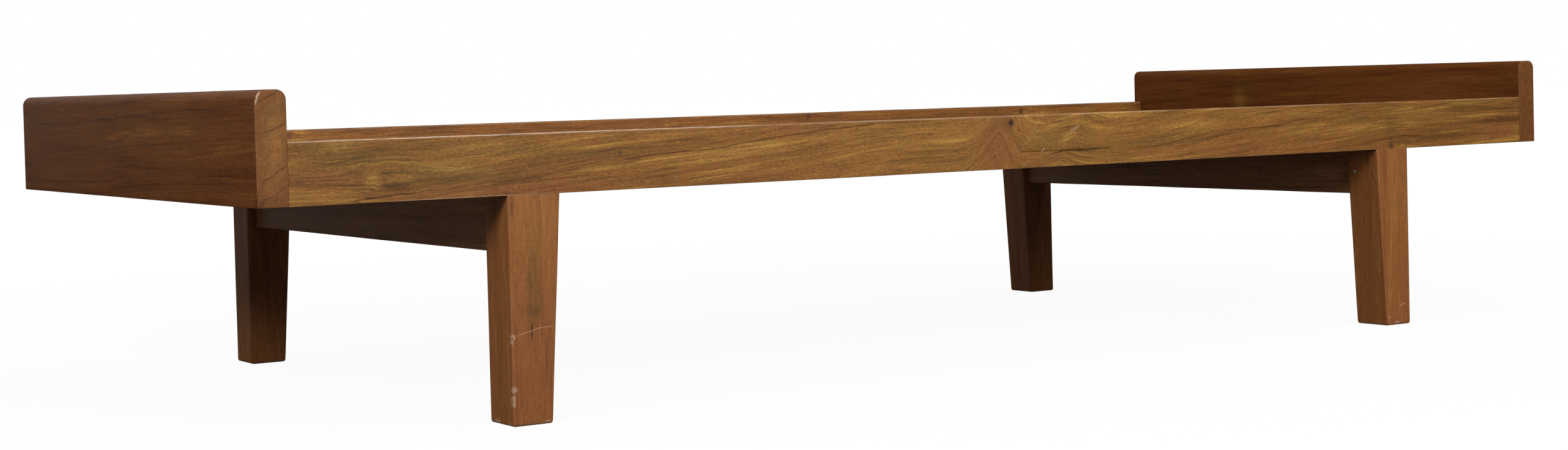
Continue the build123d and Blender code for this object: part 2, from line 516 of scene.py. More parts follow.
    def _fibres(self, tree: Tree, grain: Socket, colour: Socket) -> tuple[Socket, Socket]:
        """Darken and lighten single fibres, and add the open pores and the bright flecks.

        Args:
            tree: The material's nodes.
            grain: Grain coordinates in millimetres.
            colour: The wood's colour so far.

        Returns:
            The colour with its fibres, and the fibres' relief from 0 to 1.
        """
        # Pores are 0.3 mm wide, too fine to show, so the finest detail is drawn about 1 mm wide.
        coarse = self._drawn_out(tree, grain, self.strand, 1.6, 2.0)
        fine = self._drawn_out(tree, grain, self.grit, 1.0, 2.0)
        fibre = add(tree, "Mix", {0: 0.55, 2: coarse, 3: fine}, data_type="FLOAT").outputs[0]
        swing = {"From Min": 0.36, "From Max": 0.64, "To Min": 1 - self.fibre, "To Max": 1 + self.fibre}
        light = add(tree, "MapRange", {"Value": fibre, **swing})
        fleck = self._drawn_out(tree, grain, self.grit * 1.3, 0.7, 1.0)
        bright = {"From Min": 0.28, "From Max": 0.42, "To Min": self.flecks, "To Max": 0.0}
        fleck = add(tree, "MapRange", {"Value": fleck, **bright})
        patchy = self._drawn_out(tree, grain, 130.0, 11.0, 1.0)
        patchy = add(tree, "MapRange", {"Value": patchy, "From Min": 0.38, "From Max": 0.58})
        gleam = add(tree, "Math", {0: fleck, 1: patchy}, operation="MULTIPLY")
        light = add(tree, "Math", {0: light, 1: gleam}, operation="ADD")
        shaded = {0: 1.0, 6: colour, 7: light}
        lit = add(tree, "Mix", shaded, data_type="RGBA", blend_type="MULTIPLY")
        pore = self._drawn_out(tree, grain, self.grit * 1.3, 0.95, 1.0)
        pore = add(tree, "MapRange", {"Value": pore, "From Min": 0.6, "From Max": 0.7, "To Max": self.pores})
        filled = {0: pore, 6: lit.outputs[2], 7: linear(self.line)}
        return add(tree, "Mix", filled, data_type="RGBA").outputs[2], fibre

    def _marks(self, tree: Tree, grain: Socket, colour: Socket) -> tuple[Socket, Socket]:
        """Draw the long growth lines, cracks, scratches and painted highlights that the piece's attributes carry.

        Args:
            tree: The material's nodes.
            grain: Grain coordinates in millimetres.
            colour: The wood's colour so far.

        Returns:
            The colour with its marks, and how deep the cracks are.
        """
        drift = self._drawn_out(tree, grain, 34.0, 9.0, 2.0)
        shaken = {"Value": drift, "From Min": 0.3, "From Max": 0.7, "To Min": -0.8, "To Max": 0.8}
        wander = add(tree, "MapRange", shaken)
        splinter = self._drawn_out(tree, grain, 16.0, 0.8, 2.0)
        broken = add(tree, "MapRange", {"Value": splinter, "From Min": 0.36, "From Max": 0.56, "To Min": 0.25})
        hollow = None
        # Each kind's colour, and the half-widths where it starts to fade and where it is gone.
        inks = {
            Trace.STREAK: (self.line, 0.1, 1.5),
            Trace.CRACK: ("26120a", 0.4, 1.4),
            # The pale ink draws real scratches and also painted highlights along edges.
            Trace.SCRATCH: ("d8bfa6", 0.3, 1.2),
        }
        for trace, (ink, near, far) in inks.items():
            held = add(tree, "Attribute", attribute_name=trace.value)
            parts = add(tree, "SeparateXYZ", {0: held.outputs["Vector"]})
            off = add(tree, "Math", {0: parts, 1: wander}, operation="ADD")
            off = add(tree, "Math", {0: off}, operation="ABSOLUTE")
            cover = {"Value": off, "From Min": near, "From Max": far, "To Min": 1.0, "To Max": 0.0}
            cover = add(tree, "MapRange", cover, interpolation_type="SMOOTHSTEP")
            cover = add(tree, "Math", {0: cover, 1: broken}, operation="MULTIPLY")
            seen = {0: cover, 1: parts.outputs[1]}
            cover = add(tree, "Math", seen, operation="MULTIPLY", use_clamp=True)
            mix = add(tree, "Mix", {0: cover, 6: colour, 7: linear(ink)}, data_type="RGBA")
            colour = mix.outputs[2]
            if trace is Trace.CRACK:
                hollow = cover.outputs[0]
        return colour, hollow

    def _knots(self, tree: Tree, grain: Socket, colour: Socket, knot: bpy.types.Node) -> Socket:
        """Draw each knot as a dark heart inside a few uneven rings.

        Args:
            tree: The material's nodes.
            grain: Grain coordinates in millimetres.
            colour: The wood's colour so far.
            knot: Holds the distance to the nearest knot, in its radii, and how dark it is.

        Returns:
            The colour with its knots.
        """
        uneven = self._drawn_out(tree, grain, 5.0, 2.2, 2.0)
        rough_edge = add(tree, "MapRange", {"Value": uneven, "To Min": -0.45, "To Max": 0.45})
        near = add(tree, "Math", {0: knot, 1: rough_edge}, operation="ADD")
        half = add(tree, "Math", {0: near, 1: 0.5}, operation="MULTIPLY")
        rings = add(tree, "ValToRGB", {0: half})
        heart = [(0.0, "1a0f0b"), (0.22, "2e1a12"), (0.32, "6b4428")]
        set_stops(rings, [*heart, (0.4, "3a2216"), (0.55, "7a4f2c"), (0.7, "5a3a22")])
        fade = {"Value": near, "From Min": 0.6, "From Max": 1.7, "To Min": 1.0, "To Max": 0.0}
        fade = add(tree, "MapRange", fade, interpolation_type="SMOOTHSTEP")
        cover = add(tree, "Math", {0: fade, 1: knot.outputs[1]}, operation="MULTIPLY", use_clamp=True)
        mix = add(tree, "Mix", {0: cover, 6: colour, 7: rings}, data_type="RGBA")
        return mix.outputs[2]

    def _rub_and_highlight_edges(self, tree: Tree, grain: Socket, colour: Socket) -> tuple[Socket, Socket]:
        """Make the rounded edges pale and smooth, unevenly: partly rubbing by hands and bedding, partly a painted
        highlight along the arrises.

        Args:
            tree: The material's nodes.
            grain: Grain coordinates in millimetres.
            colour: The wood's colour so far.

        Returns:
            The colour with its pale edges, and how pale each place is.
        """
        uneven = self._drawn_out(tree, grain, 70.0, 70.0, 4.0)
        share = add(tree, "MapRange", {"Value": uneven, "From Min": 0.35, "From Max": 0.65, "To Max": self.wear_and_highlight})
        edge = add(tree, "Attribute", attribute_name="worn")
        worn = add(tree, "Math", {0: share, 1: edge.outputs["Fac"]}, operation="MULTIPLY")
        ragged = self._drawn_out(tree, grain, 6.0, 2.6, 3.0)
        bruised = add(tree, "Attribute", attribute_name="chipped")
        chip = add(tree, "Math", {0: ragged, 1: bruised.outputs["Fac"]}, operation="ADD")
        chip = add(tree, "MapRange", {"Value": chip, "From Min": 1.0, "From Max": 1.12, "To Max": 0.5})
        worn = add(tree, "Math", {0: worn, 1: chip}, operation="MAXIMUM")
        # Pale rounded edges and chips: partly rubbing, partly a painted highlight along the arrises.
        mix = add(tree, "Mix", {0: worn, 6: colour, 7: linear("c4a88e")}, data_type="RGBA")
        return mix.outputs[2], worn.outputs[0]


@dataclass(frozen=True)
class SteelFinish(Finish):
    """Plain mild steel, dulled by handling: soft highlights, and specks of brown-grey tarnish.

    Attributes:
        colour: Its colour between the specks.
        roughness: How matt it is.
        metallic: How far it is bare metal, rather than metal under a film of tarnish and oil.
    """

    colour: str
    roughness: float = 0.38
    metallic: float = 1.0

    def _shade(self, tree: Tree) -> None:
        """Add the steel's nodes.

        Args:
            tree: The material's empty tree.
        """
        place = add(tree, "TexCoord").outputs["Object"]
        # Specks of tarnish about 1.5 mm across.
        specks = add(tree, "TexNoise", {"Vector": place, "Scale": 1 / (1.5 * MM), "Detail": 3.0})
        tone = add(tree, "ValToRGB", {0: specks})
        set_stops(tone, [(0.35, "6f6a63"), (0.6, self.colour)])
        matt = {"Value": specks, "To Min": self.roughness + 0.15, "To Max": self.roughness - 0.1}
        rough = add(tree, "MapRange", matt)
        look = {"Base Color": tone, "Metallic": self.metallic, "Roughness": rough}
        shader = add(tree, "BsdfPrincipled", look)
        add(tree, "OutputMaterial", {"Surface": shader})


# Old teak planks, oiled by hand: dark reddish brown, nearly matt, with fine pale fibres along the face.
BOARD_TEAK = TeakFinish(
    name="board_teak_oiled",
    slot="end_board",
    dark="542a10",
    usual="6a3c18",
    bright="7a4a20",
    line="2e140a",
    contrast=1.05,
    fibre=0.3,
    rings=0.3,
    roughness=0.45,
    sheen=0.03,
    pores=0.4,
    flecks=0.5,
    wear_and_highlight=0.5,
)
# The same teak where bedding has rubbed it smooth: the fibres are filled, and only the broad bands show.
SMOOTH_BOARD_TEAK = replace(
    BOARD_TEAK, name="board_teak_rubbed", contrast=1.25, fibre=0.2, pores=0.25, flecks=0.1
)
# Sawn end grain of the planks, oiled: lighter and warmer, with short pores and slanting year rings.
END_TEAK = TeakFinish(
    name="end_grain_teak_oiled",
    slot="end_board",
    dark="663c1b",
    usual="7d4c22",
    bright="925e2c",
    line="432108",
    contrast=1.1,
    fibre=0.15,
    band_length=40.0,
    band_width=9.0,
    roughness=0.5,
    strand=27.0,
    grit=3.0,
    pores=0.4,
)
# Figured teak with olive and golden bands, oiled: open pores, and short fibres that catch the light.
RAIL_TEAK = TeakFinish(
    name="rail_teak_oiled",
    slot="rail",
    dark="5f3e17",
    usual="8b5b28",
    bright="b08238",
    line="4e270a",
    contrast=1.15,
    fibre=0.3,
    rings=0.6,
    grit=3.6,
    pores=0.55,
    flecks=0.8,
    wear_and_highlight=0.7,
)
# Straight-grained teak, planed and oiled: an even reddish brown with short, fine pores.
LEG_TEAK = TeakFinish(
    name="leg_teak_oiled",
    slot="leg",
    dark="764620",
    usual="91582c",
    bright="a46d3a",
    line="4c2a12",
    contrast=0.9,
    fibre=0.2,
    rings=0.12,
    band_length=200.0,
    band_width=16.0,
    strand=25.0,
    grit=2.4,
    pores=0.4,
    flecks=0.2,
)
# Plain teak under the bed, oiled once and never rubbed: dusty brown, with little contrast.
CROSS_RAIL_TEAK = TeakFinish(
    name="cross_rail_teak_oiled",
    slot="cross_rail",
    dark="7a4e2e",
    usual="9a6842",
    bright="b07c50",
    line="42281a",
    fibre=0.2,
    grit=6.0,
)
# Planed teak, left without oil: pale, dry and matt.
SLAT_TEAK = TeakFinish(
    name="slat_teak_planed",
    slot="slat",
    dark="7a5634",
    usual="a07a50",
    bright="b9945f",
    line="5f4128",
    roughness=0.68,
    pores=0.4,
)
# Machine-made wood screws of bright mild steel: grey, with clear highlights on the cone and the slot.
SCREW_STEEL = SteelFinish("screw_steel", "screw", "9a968f", 0.42)
# Cut and hammered pins of mild steel: pale, warm and dull, and only partly metallic; their pale colour is partly a
# painted reflection.
PIN_STEEL = SteelFinish("pin_steel", "pin", "e2d8cc", 0.55, 0.35)


# ---------------------------------------------------------------- meshes
def box_mm(node: str) -> tuple[Vector, Vector]:
    """A node's lowest and highest corners, in millimetres."""
    low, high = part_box(node)
    return low / MM, high / MM


def runs(direction: Vector, axis: int) -> bool:
    """Whether an edge with this direction runs along an axis, or nearly."""
    return abs(direction[axis]) > 0.9


def raise_faces(bm: Solid, faces: Sequence[bmesh.types.BMFace], axis: int, rise: float) -> None:
    """Extrude some faces along an axis.

    Args:
        bm: The mesh.
        faces: The faces.
        axis: The axis.
        rise: How far they move along it, in millimetres.
    """
    raised = bmesh.ops.extrude_face_region(bm, geom=faces)["geom"]
    moved = [part for part in raised if isinstance(part, bmesh.types.BMVert)]
    step = Vector()
    step[axis] = rise * MM
    bmesh.ops.translate(bm, verts=moved, vec=step)


def prism(outline: Sequence[Point], axis: int, low: float, high: float) -> Solid:
    """Extrude a flat outline into a solid.

    Args:
        outline: Corners, in the two axes other than `axis`, in X, Y, Z order.
        axis: The axis to extrude along.
        low: Where the solid starts along that axis.
        high: Where it ends.

    Returns:
        The solid, with its faces outwards.
    """
    first, second = (i for i in range(3) if i != axis)
    bm = bmesh.new()
    bm.faces.layers.float.new("worn")
    corners = []
    for a, b in outline:
        place = Vector()
        place[axis], place[first], place[second] = low * MM, a * MM, b * MM
        corners.append(bm.verts.new(place))
    raise_faces(bm, [bm.faces.new(corners)], axis, high - low)
    bmesh.ops.recalc_face_normals(bm, faces=bm.faces)
    return bm


def beam(low: Vector, high: Vector, axis: int) -> Solid:
    """Make a box-shaped solid, with one layer of faces along its length.

    Args:
        low: Its lowest corner, in millimetres.
        high: Its highest corner.
        axis: The axis that it runs along.

    Returns:
        The solid.
    """
    first, second = (i for i in range(3) if i != axis)
    a, b, c, d = low[first], low[second], high[first], high[second]
    return prism([(a, b), (c, b), (c, d), (a, d)], axis, low[axis], high[axis])


def round_edges(
    bm: Solid,
    wanted: Callable[[Vector, Vector], bool],
    radius: float,
    segments: int = 3,
    wear_and_highlight: float = 1.0,
) -> None:
    """Round the edges that a test picks, and note how pale they are to be painted, as rubbing and as a painted
    highlight.

    Args:
        bm: The mesh.
        wanted: Takes an edge's middle, in millimetres, and its direction, and says whether to round it.
        radius: How far back from the edge the rounding starts, in millimetres.
        segments: Flats in the rounding.
        wear_and_highlight: How pale the rounding is painted, from 0 to 1: partly rubbing, partly a painted
            highlight.
    """
    chosen = []
    for edge in bm.edges:
        a, b = (v.co for v in edge.verts)
        if len(edge.link_faces) == 2 and edge.calc_face_angle(0.0) > CREASE:
            if wanted((a + b) / 2 / MM, (b - a).normalized()):
                chosen.append(edge)
    rounded = bmesh.ops.bevel(
        bm,
        geom=chosen,
        offset=radius * MM,
        segments=segments,
        profile=0.5,
        affect="EDGES",
        material=-1,
        clamp_overlap=True,
    )
    worn = bm.faces.layers.float["worn"]
    for face in rounded["faces"]:
        face[worn] = wear_and_highlight


def cut_mesh(bm: Solid, axis: int, place: float) -> None:
    """Cut the faces that cross a plane in two, and keep both halves.

    Args:
        bm: The mesh.
        axis: The axis that the plane is square to.
        place: Where it crosses that axis, in millimetres.
    """
    normal = Vector([float(i == axis) for i in range(3)])
    parts = bm.verts[:] + bm.edges[:] + bm.faces[:]
    bmesh.ops.bisect_plane(bm, geom=parts, dist=1e-6, plane_co=normal * place * MM, plane_no=normal)


def slice_mesh(bm: Solid, spacing: float, axes: Iterable[int]) -> None:
    """Cut a mesh into even slices, so that it can carry fine detail.

    Args:
        bm: The mesh.
        spacing: The slices' thickness, in millimetres.
        axes: The axes that the cuts are square to, in order.
    """
    for axis in axes:
        places = [v.co[axis] / MM for v in bm.verts]
        low, high = min(places), max(places)
        count = max(1, round((high - low) / spacing))
        for k in range(1, count):
            cut_mesh(bm, axis, low + (high - low) * k / count)
    # A cut through a rounding's corner leaves two vertices in one place.
    bmesh.ops.remove_doubles(bm, verts=bm.verts, dist=1e-6)


def put(name: str, data: bpy.types.ID) -> Piece:
    """Add an object to the scene.

    Args:
        name: Its name.
        data: Its mesh, light or camera.

    Returns:
        The object, at the origin.
    """
    piece = bpy.data.objects.new(name, data)
    bpy.context.scene.collection.objects.link(piece)
    return piece


def stand_in(node: str, suffix: str, bm: Solid, finish: Finish) -> Piece:
    """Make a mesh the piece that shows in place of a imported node.

    Args:
        node: The node.
        suffix: What the piece's name adds to the node's.
        bm: The mesh, which this uses up.
        finish: Its finish.

    Returns:
        The piece, at the origin and unscaled.
    """
    mesh = bpy.data.meshes.new(node + suffix)
    bm.to_mesh(mesh)
    bm.free()
    mesh.shade_smooth()
    mesh.materials.append(finish.material())
    piece = put(node + suffix, mesh)
    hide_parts(node)
    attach(piece, BODY)
    log.info("%s: %d faces", piece.name, len(mesh.polygons))
    return piece


# ---------------------------------------------------------------- timber
def bell(off: np.ndarray, reach: Point) -> np.ndarray:
    """A share that is 1 in the middle of a patch and fades round it.

    Args:
        off: How far each place is from the middle, one row each.
        reach: How far the patch goes, along and across.

    Returns:
        The share at each place.
    """
    return np.exp(-((off / np.array(reach)) ** 2).sum(1))


def smooth_path(places: Sequence[Point], step: float = 6.0) -> np.ndarray:
    """A smooth curve through a few places.

    Args:
        places: The places, at least two.
        step: About how far apart the curve's points are.

    Returns:
        The curve's points, one row each.
    """
    knots = np.array([places[0], *places, places[-1]], float)
    found = []
    for a, b, c, d in zip(knots, knots[1:], knots[2:], knots[3:]):
        count = max(1, math.ceil(np.linalg.norm(c - b) / step))
        for t in np.arange(count) / count:
            bend = (2 * a - 5 * b + 4 * c - d) * t**2 + (3 * b - a - 3 * c + d) * t**3
            found.append(0.5 * (2 * b + (c - a) * t + bend))
    found.append(knots[-1])
    return np.array(found)


def distance_to_path(places: np.ndarray, path: np.ndarray) -> tuple[np.ndarray, np.ndarray]:
    """How far each place is from a curve, with a sign that says which side it is on.

    Args:
        places: Places, one row each.
        path: The curve's points, one row each.

    Returns:
        The signed distances, and how far along the curve the nearest point is, from 0 to 1.
    """
    signed = np.full(len(places), 1e9)
    share = np.zeros(len(places))
    steps = np.diff(path, axis=0)
    lengths = np.maximum(np.linalg.norm(steps, axis=1), 1e-9)
    done = 0.0
    for start, run, length in zip(path, steps, lengths):
        offset = places - start
        t = np.clip(offset @ run / length**2, 0, 1)
        gap = np.linalg.norm(offset - t[:, None] * run, axis=1)
        turn = np.sign(run[0] * offset[:, 1] - run[1] * offset[:, 0] + 1e-12)
        nearer = gap < np.abs(signed)
        signed = np.where(nearer, gap * turn, signed)
        share = np.where(nearer, (done + t * length) / lengths.sum(), share)
        done += length
    return signed, share


@dataclass
class Timber:
    """One piece of teak: its mesh, how its grain runs, and what shows on its faces.

    Attributes:
        node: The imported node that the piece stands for.
        bm: Its mesh, which `finish` uses up.
        grain: Which way the fibres run.
        teak: Its finish.
        features: What shows on its faces.
        seed: Sets its own stretch of the noise that all the teak shares.
        waviness: How far the hand-planed faces rise and fall, in millimetres.
        meander: How far the fibres wander across the piece, in millimetres.
        lean: How far the fibres climb across the piece for each millimetre along it.
        tilt: How far the growth rings climb across the piece for each millimetre in depth.
    """

    node: str
    bm: Solid
    grain: Grain
    teak: TeakFinish
    features: Sequence[Feature] = ()
    seed: int = 0
    waviness: float = 0.12
    meander: float = 6.0
    lean: float = 0.0
    tilt: float = 0.0

    def finish(self) -> Piece:
        """Make the object, give it its attributes and material, and put it in place of its node.

        Returns:
            The finished piece, at the origin and unscaled.
        """
        self._plane_by_hand()
        piece = stand_in(self.node, "_wood", self.bm, self.teak)
        mesh = piece.data
        places = np.empty(len(mesh.vertices) * 3)
        mesh.vertices.foreach_get("co", places)
        places = places.reshape(-1, 3) / MM
        self._write(mesh, "grain", self._grain_places(places))
        tints = self._tints(places)
        self._write(mesh, "tint", tints[:, :4], "FLOAT_COLOR", "color")
        self._write(mesh, "chipped", tints[:, Tint.CHIPPED.value], "FLOAT", "value")
        self._write(mesh, "knot", self._knots(places))
        for trace in Trace:
            self._write(mesh, trace.value, self._lines(places, trace))
        return piece

    def _plane_by_hand(self) -> None:
        """Move every vertex by a little smooth noise, as a hand plane leaves a face."""
        shift = Vector((self.seed * PLANE_STEP, 0.0, 0.0))
        for vertex in self.bm.verts:
            vertex.co += noise.noise_vector(vertex.co / (PLANE_STROKE * MM) + shift) * self.waviness * MM

    @staticmethod
    def _write(
        mesh: bpy.types.Mesh, name: str, values: np.ndarray, kind: str = "FLOAT_VECTOR", field: str = "vector"
    ) -> None:
        """Store a value at each vertex.

        Args:
            mesh: The mesh.
            name: The attribute's name.
            values: One row for each vertex.
            kind: The attribute's type.
            field: What that type calls its value.
        """
        held = mesh.attributes.new(name, kind, "POINT")
        held.data.foreach_set(field, values.astype(np.float32).ravel())

    @staticmethod
    def _on_side(places: np.ndarray, side: Side) -> tuple[np.ndarray, np.ndarray]:
        """Which vertices lie on one face, and their two coordinates there.

        Args:
            places: Every vertex, in millimetres.
            side: The face.

        Returns:
            A truth value for each vertex, and its coordinates in the face's two axes.
        """
        axis, direction, first, second = side.value
        height = places[:, axis] * direction
        return height.max() - height < SKIN, places[:, [first, second]]

    def _grain_places(self, places: np.ndarray) -> np.ndarray:
        """Where each vertex is in the log: along the fibres, across them and in depth.

        Hairpin grain and burrs lift the fibres, knots push them apart, and slow noise makes them wander.

        Args:
            places: Every vertex, in millimetres.

        Returns:
            Its place in the log, in millimetres.
        """
        along, across, depth = (places[:, i] for i in self.grain.value)
        lifted = across - self.lean * (along - along.mean()) - self.tilt * (depth - depth.mean())
        for feature in self.features:
            _, local = self._on_side(places, feature.side)
            if isinstance(feature, Crotch):
                peak = feature.at + feature.lean * (local[:, 1] - local[:, 1].mean())
                off = np.abs(local[:, 0] - peak) / feature.spread
                lifted = lifted - feature.height * np.exp(-(off**HAIRPIN))
            if isinstance(feature, Curl):
                crinkle = np.array([noise.noise(Vector((*place, 0.0)) / BURR) for place in local])
                lifted = lifted + feature.depth * crinkle * bell(local - np.array(feature.at), feature.reach)
            if isinstance(feature, Sweep):
                path = smooth_path(feature.places, 15.0)
                lifted = lifted - np.interp(local[:, 0], path[:, 0], path[:, 1])
        for feature in self.features:
            if isinstance(feature, Knot):
                here, local = self._on_side(places, feature.side)
                pull = feature.bulge * bell(local - np.array(feature.at), feature.reach)
                middle = lifted[np.argmax(np.where(here, pull, -1))]
                lifted = lifted - (lifted - middle) * pull
        shift = np.array([self._wander(place) for place in places]) * self.meander
        found = np.stack([along, lifted + shift[:, 0], depth + shift[:, 1]], 1)
        return found + LOG_STEP * self.seed

    def _wander(self, place: np.ndarray) -> tuple[float, float]:
        """How the fibres drift at one vertex, by slow noise that is stretched along them.

        Args:
            place: The vertex, in millimetres.

        Returns:
            The drift across the fibres and in depth, from -1 to 1.
        """
        i, j, k = self.grain.value
        long, wide = DRIFT
        local = Vector((place[i] / long, place[j] / wide + self.seed * DRIFT_STEP, place[k] / wide))
        return noise.noise(local), noise.noise(local + ELSEWHERE)

    def _tints(self, places: np.ndarray) -> np.ndarray:
        """How strongly each vertex takes each tint.

        Args:
            places: Every vertex, in millimetres.

        Returns:
            A column for each tint, from 0 to 1.
        """
        found = np.zeros((len(places), len(Tint)))
        for feature in self.features:
            if isinstance(feature, Patch):
                here, local = self._on_side(places, feature.side)
                off = local - np.array(feature.at)
                off[:, 1] -= feature.tilt * off[:, 0]
                share = bell(off, feature.reach) * feature.strength
                column = found[:, feature.tint.value]
                column[:] = np.maximum(column, np.where(here, share, 0))
        return found

    def _knots(self, places: np.ndarray) -> np.ndarray:
        """What each vertex shows of the knots and of the hairpin grain.

        Args:
            places: Every vertex, in millimetres.

        Returns:
            How far the nearest knot is, in its radii, how dark it is, and how figured the grain is.
        """
        found = np.zeros((len(places), 3))
        found[:, 0] = FAR
        for feature in self.features:
            here, local = self._on_side(places, feature.side)
            if isinstance(feature, Crotch) and feature.figure > 0:
                off = (local[:, 0] - feature.at) / (feature.spread * FIGURE_SPREAD)
                found[:, 2] = np.maximum(found[:, 2], np.where(here, np.exp(-(off**2)) * feature.figure, 0))
            if isinstance(feature, Knot) and feature.heart > 0:
                off = np.linalg.norm(local - np.array(feature.at), axis=1) / feature.radius
                nearer = here & (off < found[:, 0])
                found[nearer, 0] = off[nearer]
                found[nearer, 1] = feature.heart
        return found

    def _lines(self, places: np.ndarray, trace: Trace) -> np.ndarray:
        """What each vertex shows of the lines of one kind.

        A line has faded out beside it, so that the change of side between two lines draws nothing.

        Args:
            places: Every vertex, in millimetres.
            trace: The kind of line.

        Returns:
            How far the nearest line is, in its half-widths, its strength there, and nothing.
        """
        found = np.zeros((len(places), 3))
        found[:, 0] = FAR
        nearest = np.full(len(places), 1e9)
        for feature in self.features:
            if isinstance(feature, Line) and feature.trace is trace:
                here, local = self._on_side(places, feature.side)
                off, share = distance_to_path(local, smooth_path(feature.places))
                gap = np.abs(off)
                ends = np.clip(np.minimum(share, 1 - share) / ENDS, 0, 1)
                beside = np.clip((BESIDE - gap) / FADE, 0, 1)
                nearer = here & (gap < nearest)
                nearest[nearer] = gap[nearer]
                found[nearer, 0] = off[nearer] / (feature.width / 2)
                found[nearer, 1] = (ends * beside * feature.strength)[nearer]
        return found


def patches(side: Side, rows: dict[Tint, Sequence[tuple[float, ...]]]) -> list[Patch]:
    """List the patches of tinted wood on one face.

    Args:
        side: The face.
        rows: For each tint, each patch's middle, its reach along and across, its strength, and its tilt
            where it has one.

    Returns:
        The patches.
    """
    return [Patch(tint, side, (a, b), (c, d), *rest) for tint in rows for a, b, c, d, *rest in rows[tint]]


# ---------------------------------------------------------------- sub-assemblies
@dataclass
class EndBoards:
    """The two thick planks across the ends, with rounded top edges and end grain at the sides.

    Attributes:
        top_round: The radius of the long edges on top.
        top_band: How far below the top an edge is clear of that rounding.
        arris: The radius of every other edge.
        spacing: How fine the mesh is.
    """

    top_round: float = 11.0
    top_band: float = 40.0
    arris: float = 1.0
    spacing: float = 4.0

    def build(self) -> list[Piece]:
        """Build both boards.

        Returns:
            The two pieces.
        """
        return [
            self._board("end_board_left", BOARD_TEAK, self._left_features(), seed=1),
            self._board("end_board_right", SMOOTH_BOARD_TEAK, self._right_features(), seed=2),
        ]

    def _board(self, node: str, teak: TeakFinish, features: Sequence[Feature], seed: int) -> Piece:
        """Build one board, and give its two ends their end grain.

        Args:
            node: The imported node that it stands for.
            teak: The finish of its faces.
            features: What shows on them.
            seed: Its place in the log.

        Returns:
            The piece.
        """
        low, high = box_mm(node)
        bm = beam(low, high, 1)
        round_edges(bm, lambda m, d: runs(d, 1) and m.z > high.z - NEAR, self.top_round, 8, 0.0)
        round_edges(bm, lambda m, d: not runs(d, 1) or m.z < high.z - self.top_band, self.arris, wear_and_highlight=0.3)
        slice_mesh(bm, self.spacing, (1, 2, 0))
        board = Timber(node, bm, Grain.ACROSS_BED, teak, features, seed, meander=5.0, lean=-0.02, tilt=0.5)
        piece = board.finish()
        piece.data.materials.append(END_TEAK.material())
        for face in piece.data.polygons:
            face.material_index = int(runs(face.normal, 1))
        return piece

    @staticmethod
    def _left_features() -> list[Feature]:
        """What shows on the left board's outer face and near end.

        Returns:
            Its growth lines, a bright arc on the end, and its patches.
        """
        out, end = Side.LEFT, Side.FRONT
        streaks = (
            (
                out,
                ((418, 340), (250, 339), (143, 341), (1, 346), (-87, 350), (-210, 354), (-300, 354), (-419, 360)),
                1.8,
                0.7,
            ),
            (out, ((251, 301), (125, 302), (6, 311), (-125, 315), (-264, 321), (-419, 326)), 1.6, 0.55),
            (out, ((419, 264), (204, 267), (58, 270), (-55, 269), (-277, 274), (-419, 277)), 1.6, 0.6),
            (out, ((-300, 296), (-353, 293), (-419, 288)), 1.8, 0.5),
            (end, ((-1000, 359), (-990, 363), (-974, 372)), 2.2, 0.55),
            (end, ((-1000, 325), (-984, 331), (-966, 339)), 2.2, 0.8),
            (end, ((-1000, 277), (-986, 283), (-966, 296)), 2.2, 0.8),
            (end, ((-998, 257), (-984, 264), (-966, 275)), 2.2, 0.6),
        )
        return [
            *(Line(Trace.STREAK, *row) for row in streaks),
            # A painted highlight along the rounded top outer corner of the end.
            Line(Trace.SCRATCH, end, ((-999, 357), (-998.6, 362), (-997, 367), (-993, 371)), 1.8, 1.0),
            *patches(
                end,
                {
                    Tint.GOLD: ((-980, 318, 12, 40, 0.35, 0.5),),
                    Tint.OLIVE: ((-978, 348, 14, 14, 0.35),),
                    Tint.DARK: ((-998, 254, 10, 9, 0.85), (-976, 258, 8, 5, 0.5)),
                },
            ),
            *patches(out, {Tint.DARK: ((-416, 255, 6, 6, 0.6),), Tint.GOLD: ((-60, 330, 200, 30, 0.1),)}),
        ]

    @staticmethod
    def _right_features() -> list[Feature]:
        """What shows on the right board's inner face and near end.

        Returns:
            One small knot, and its patches.
        """
        inner = {
            Tint.DARK: (
                (0, 330, 900, 200, 0.32),
                (340, 330, 90, 20, 0.5),
                (-398, 345, 16, 8, 0.6),
                (-404, 327, 20, 7, 0.7),
            ),
            Tint.OLIVE: ((148, 335, 22, 34, 0.5),),
            Tint.GOLD: ((158, 316, 12, 24, 0.3),),
            Tint.RED: ((-250, 330, 160, 30, 0.35),),
        }
        return [
            Knot(Side.LEFT, (161, 316), 3.0, (26, 16), 0.6),
            *patches(Side.LEFT, inner),
            *patches(Side.FRONT, {Tint.DARK: ((983, 310, 200, 200, 0.25),)}),
        ]


